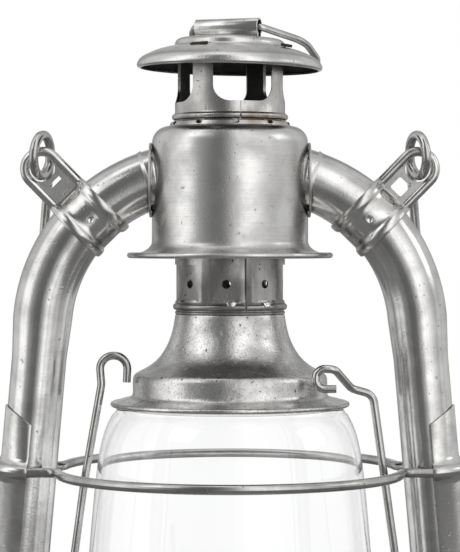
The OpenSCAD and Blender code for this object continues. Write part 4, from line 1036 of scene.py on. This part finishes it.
# %% Guard wire
GUARD_R, GUARD_ARC_R, ARC_MIDDLE_Y, SIDE_R, FILLET_R = 1.45, 51.0, 7, 9.95, 4.0
fillet_y = SIDE_R + FILLET_R
fillet_x = sqrt((GUARD_ARC_R + FILLET_R) ** 2 - (fillet_y - ARC_MIDDLE_Y) ** 2)
arc_end = degrees(asin((fillet_y - ARC_MIDDLE_Y) / (GUARD_ARC_R + FILLET_R)))
guard = Bender((0, -ARC_MIDDLE_Y - GUARD_ARC_R, GUARD_Z), (1, 0, 0), GUARD_R, 16, capped=False)
for back in (1, -1):
    guard.bend((0, back, 0), GUARD_ARC_R, 90 - arc_end, 4)
    guard.bend((back, 0, 0), FILLET_R, 90 - arc_end, 12)
    guard.run(tube_middle(GUARD_Z) - fillet_x)
    guard.bend((0, back, 0), SIDE_R, 180, 9)
    guard.run(tube_middle(GUARD_Z) - fillet_x)
    guard.bend((0, back, 0), FILLET_R, 90 - arc_end, 12)
    guard.bend((-back, 0, 0), GUARD_ARC_R, 90 - arc_end, 4)
fasten("guard_loop", guard.bm, "guard_wire", [wire_drawn])

# %% [markdown]
# Two wires rise from the globe carrier. The left one ends in a hook and the right one
# in an eye, and both hold the bell down on the glass.

# %% Globe wires
GLOBE_WIRE_R = 1.2
left_points = [
    (-42.3, -6, 55), (-53.1, -6, 55), (-43.4, -6, 126), (-38.3, -6, 154.95), (-39, -6, 163.55),
    (-30.4, -6, 163.55), (-30.75, -6, 155.6)]
hook = bent_wire(left_points, [3, 30, 4, 3.9, 3.9], GLOBE_WIRE_R)
fasten("hook_wire", hook, "left_globe_wire", [wire_drawn])
right_points = [
    (42.3, -6, 55), (56, -6, 55), (42.2, -12, 152.35), (35.8, -14, 154.2), (30.6, -20.5, 160.2),
    (25.1, -20.5, 160.6), (25.0, -20.5, 154.5), (31.0, -20.5, 154.5)]
eye = bent_wire(right_points, [3, 4, 4, 2.4, 2.6, 2.8], GLOBE_WIRE_R)
fasten("eye_wire", eye, "right_globe_wire", [wire_drawn])

# %% [markdown]
# The bail is the carrying handle. It hangs down behind the lantern, and its eyes are
# curled through the holes of the two ears. Wire for wire it is made in one pull: eye,
# leg, arch, leg, eye.

# %% Bail
BAIL_R, BAIL_EYE_R, BAIL_ARCH_R, BAIL_DROP, BAIL_SEAT = 1.42, 6.1, 64.0, 172.0, 1.3
BAIL_YAW, BAIL_LEAN, BAIL_CURL, HINGE_RISE = radians(20), radians(12.5), 322, 1.35
ear_hole = on_arch(EAR_TURN, EAR_REACH)
hinge = Vector((0, 0, ear_hole.z + EAR_HOLE_R + HINGE_RISE))
leg_x = ear_hole.x - BAIL_EYE_R * sin(BAIL_YAW)
leg_y = BAIL_EYE_R * cos(BAIL_YAW)
arch_low = BAIL_DROP - BAIL_ARCH_R


def bail_half():
    """Right eye and leg, hanging straight down from the hinge at the origin."""
    centre = Vector((ear_hole.x, 0, -BAIL_SEAT))
    radial = Vector((-sin(BAIL_YAW), cos(BAIL_YAW), 0))
    leg_drop = arch_low - BAIL_SEAT
    reach = hypot(leg_x, leg_drop)
    tangent = asin(leg_drop / reach) - acos(BAIL_ARCH_R / reach)
    leg_end = Vector((BAIL_ARCH_R * cos(tangent), leg_y, BAIL_ARCH_R * sin(tangent) - arch_low))
    leg_start = centre + radial * BAIL_EYE_R
    half = Bender((0, leg_y, -BAIL_DROP), (1, 0, 0), BAIL_R, 18, capped=False)
    half.bend((0, 0, 1), BAIL_ARCH_R, 90 + degrees(tangent), 5)
    half.run((leg_start - leg_end).length)
    half.way = Vector((0, 0, 1))
    half.at = leg_start.copy()
    half.bend(centre - leg_start, BAIL_EYE_R, BAIL_CURL, 9)
    half.end()
    place = Matrix.Translation(hinge * MM) @ Matrix.Rotation(BAIL_LEAN, 4, "X")
    bmesh.ops.transform(half.bm, matrix=place, verts=half.bm.verts)
    return half.bm


fasten("bail_wire", joined(bail_half(), mirrored(bail_half())), "bail", [wire_drawn])

# %% [markdown]
# The tank is below the photograph's edge, so it follows how such tanks are made: a
# drawn drum with two pressed rings that stiffen the wall, and a folded hem at the foot.
# On it stands the air chamber, which joins the side tubes to the burner.

# %% Tank and air chamber
TANK_R = 61.5
tank_line = [(13.1, 29.5), (13.1, 30), (15, 30), (50, 30), (57.4, 30)]
tank_line += arc((57.4, 25.9), 4.1, 85, 5, 8)
for ring_z in (21.5, 8.5):
    tank_line += [(TANK_R, ring_z + 2.2)]
    tank_line += arc((61.3, ring_z), (0.7, 1.3), 75, -75, 8)
    tank_line += [(TANK_R, ring_z - 2.2)]
tank_line += [
    (TANK_R, 3.4), (61.9, 3.0), (62, 2.4), (62, 0.5), (61.6, 0.05), (59.4, 0.05), (59.2, 0.5),
    (59.3, 1.4)]
fasten("tank_drum", turned(tank_line), "tank_shell", [tin_turned], wall=0.7, edge=0.1)

chamber_line = [(33, 47.2), (33, 47.8), (33.6, 48), (35.2, 48)] + arc((35.2, 47.2), 0.8, 80, 0, 4)
chamber_line += [(36, 44), (36, 33.2), (36.3, 32.4), (36.3, 31.2), (36, 30.6), (36.6, 30.15)]
fasten("chamber_wall", turned(chamber_line), "air_chamber", [tin_turned, soot_and_painted_shade], wall=0.6)

# %% [markdown]
# Three more bent wires: the spring that presses the chimney onto the globe, the lever
# that lifts the globe, and its thumb piece, a round button that is spun like the rest.
# A spring is a spin that climbs a little at every step. It is squeezed when the globe
# rises. It starts two millimetres above its seat, which is the play that the chimney
# has on the globe.

# %% Spring and lever
SPRING_R, SPRING_LOW, SPRING_TOP, COILS, STEPS = 19.55, 199.1, 224.8, 5, 48
coil = Bender((SPRING_R, 0, SPRING_LOW), (0, 1, 0), 0.6, 10)
climb = (SPRING_TOP - SPRING_LOW) / (COILS * STEPS)
made = bmesh.ops.spin(
    coil.bm, geom=coil.ring + coil.rim(), cent=(0, 0, 0), axis=(0, 0, 1), dvec=(0, 0, climb * MM),
    angle=2 * pi * COILS, steps=COILS * STEPS, use_merge=False, use_duplicate=False)
coil.ring = verts_of(made["geom_last"])
spring = fasten("spring_wire", coil.end(), "chimney_spring", [wire_drawn])
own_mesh(spring)

LEVER_R, LEVER_BEND_R, INNER_ARM, THUMB_ARM = 1.25, 2.5, 14.3, 26
pivot = Vector((48.12, -17, 53.55))
slope = Vector((cos(radians(30)), 0, sin(radians(30))))
crank = Vector((48.12, -25.45, 53.55))
thumb = crank + THUMB_ARM * Vector((cos(radians(60)), 0, sin(radians(60))))
lever = bent_wire(
    [pivot - INNER_ARM * slope, pivot, crank, thumb], [LEVER_BEND_R, LEVER_BEND_R], LEVER_R)
fasten("lever_wire", lever, "lift_lever", [wire_drawn])
button_line = [(0, 1.1), (2.6, 1.1), (3.7, 1.45), (4.6, 1.5)]
button_line += arc((4.6, 0), (0.4, 1.5), 85, -85, 8) + [(3.7, -1.45), (2.6, -1.1), (0, -1.1)]
button = turned(button_line, steps=40)
bmesh.ops.transform(
    button, matrix=Matrix.Translation(thumb * MM) @ Matrix.Rotation(pi / 2, 4, "X"), verts=button.verts)
fasten("lever_button", button, "lift_lever", [tin_strap])

# %% [markdown]
# The wick is a flat woven tape. It starts as a block, gets cuts across its width, and
# every second column of vertices is drawn in a little to make the ribs of the weave.

# %% Wick
COLUMNS, RIB_SHARE = 14, 0.82
low, high = (Vector(corner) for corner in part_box("wick"))
span = high - low
middle = (low + high) / 2
tape = bmesh.new()
bmesh.ops.create_cube(tape, size=1, matrix=Matrix.Translation(middle) @ Matrix.Diagonal((*span, 1)))
across = [e for e in tape.edges if abs(e.verts[0].co.y - e.verts[1].co.y) > span.y / 2]
bmesh.ops.subdivide_edges(tape, edges=across, cuts=COLUMNS - 1, use_grid_fill=True)
for vert in tape.verts:
    column = round((vert.co.y - low.y) / span.y * COLUMNS)
    if column % 2 == 0:
        vert.co.x = middle.x + (vert.co.x - middle.x) * RIB_SHARE
fasten("wick_tape", tape, "wick", [cotton])

# %% [markdown]
# The other CAD pieces have the right shape already. They keep their meshes and get the
# finish of what they are made of.

# %% Finishes of the carried pieces
KEPT = {
    tin_turned: [
        "tank_bottom", "filler_neck", "filler_cap", "globe_carrier", "wick_knob", "burner_cone"],
    tin_strap: ["lever_bracket", "bracket_rivets", "wick_shaft"],
    brass: ["burner_body", "wick_tube"],
    rubber: ["filler_seal"],
}
for finish, nodes in KEPT.items():
    for node in nodes:
        piece = frame["nodes"][node]
        piece.data.materials.clear()
        piece.data.materials.append(finish)
        print(node, "is finished in", finish.name)
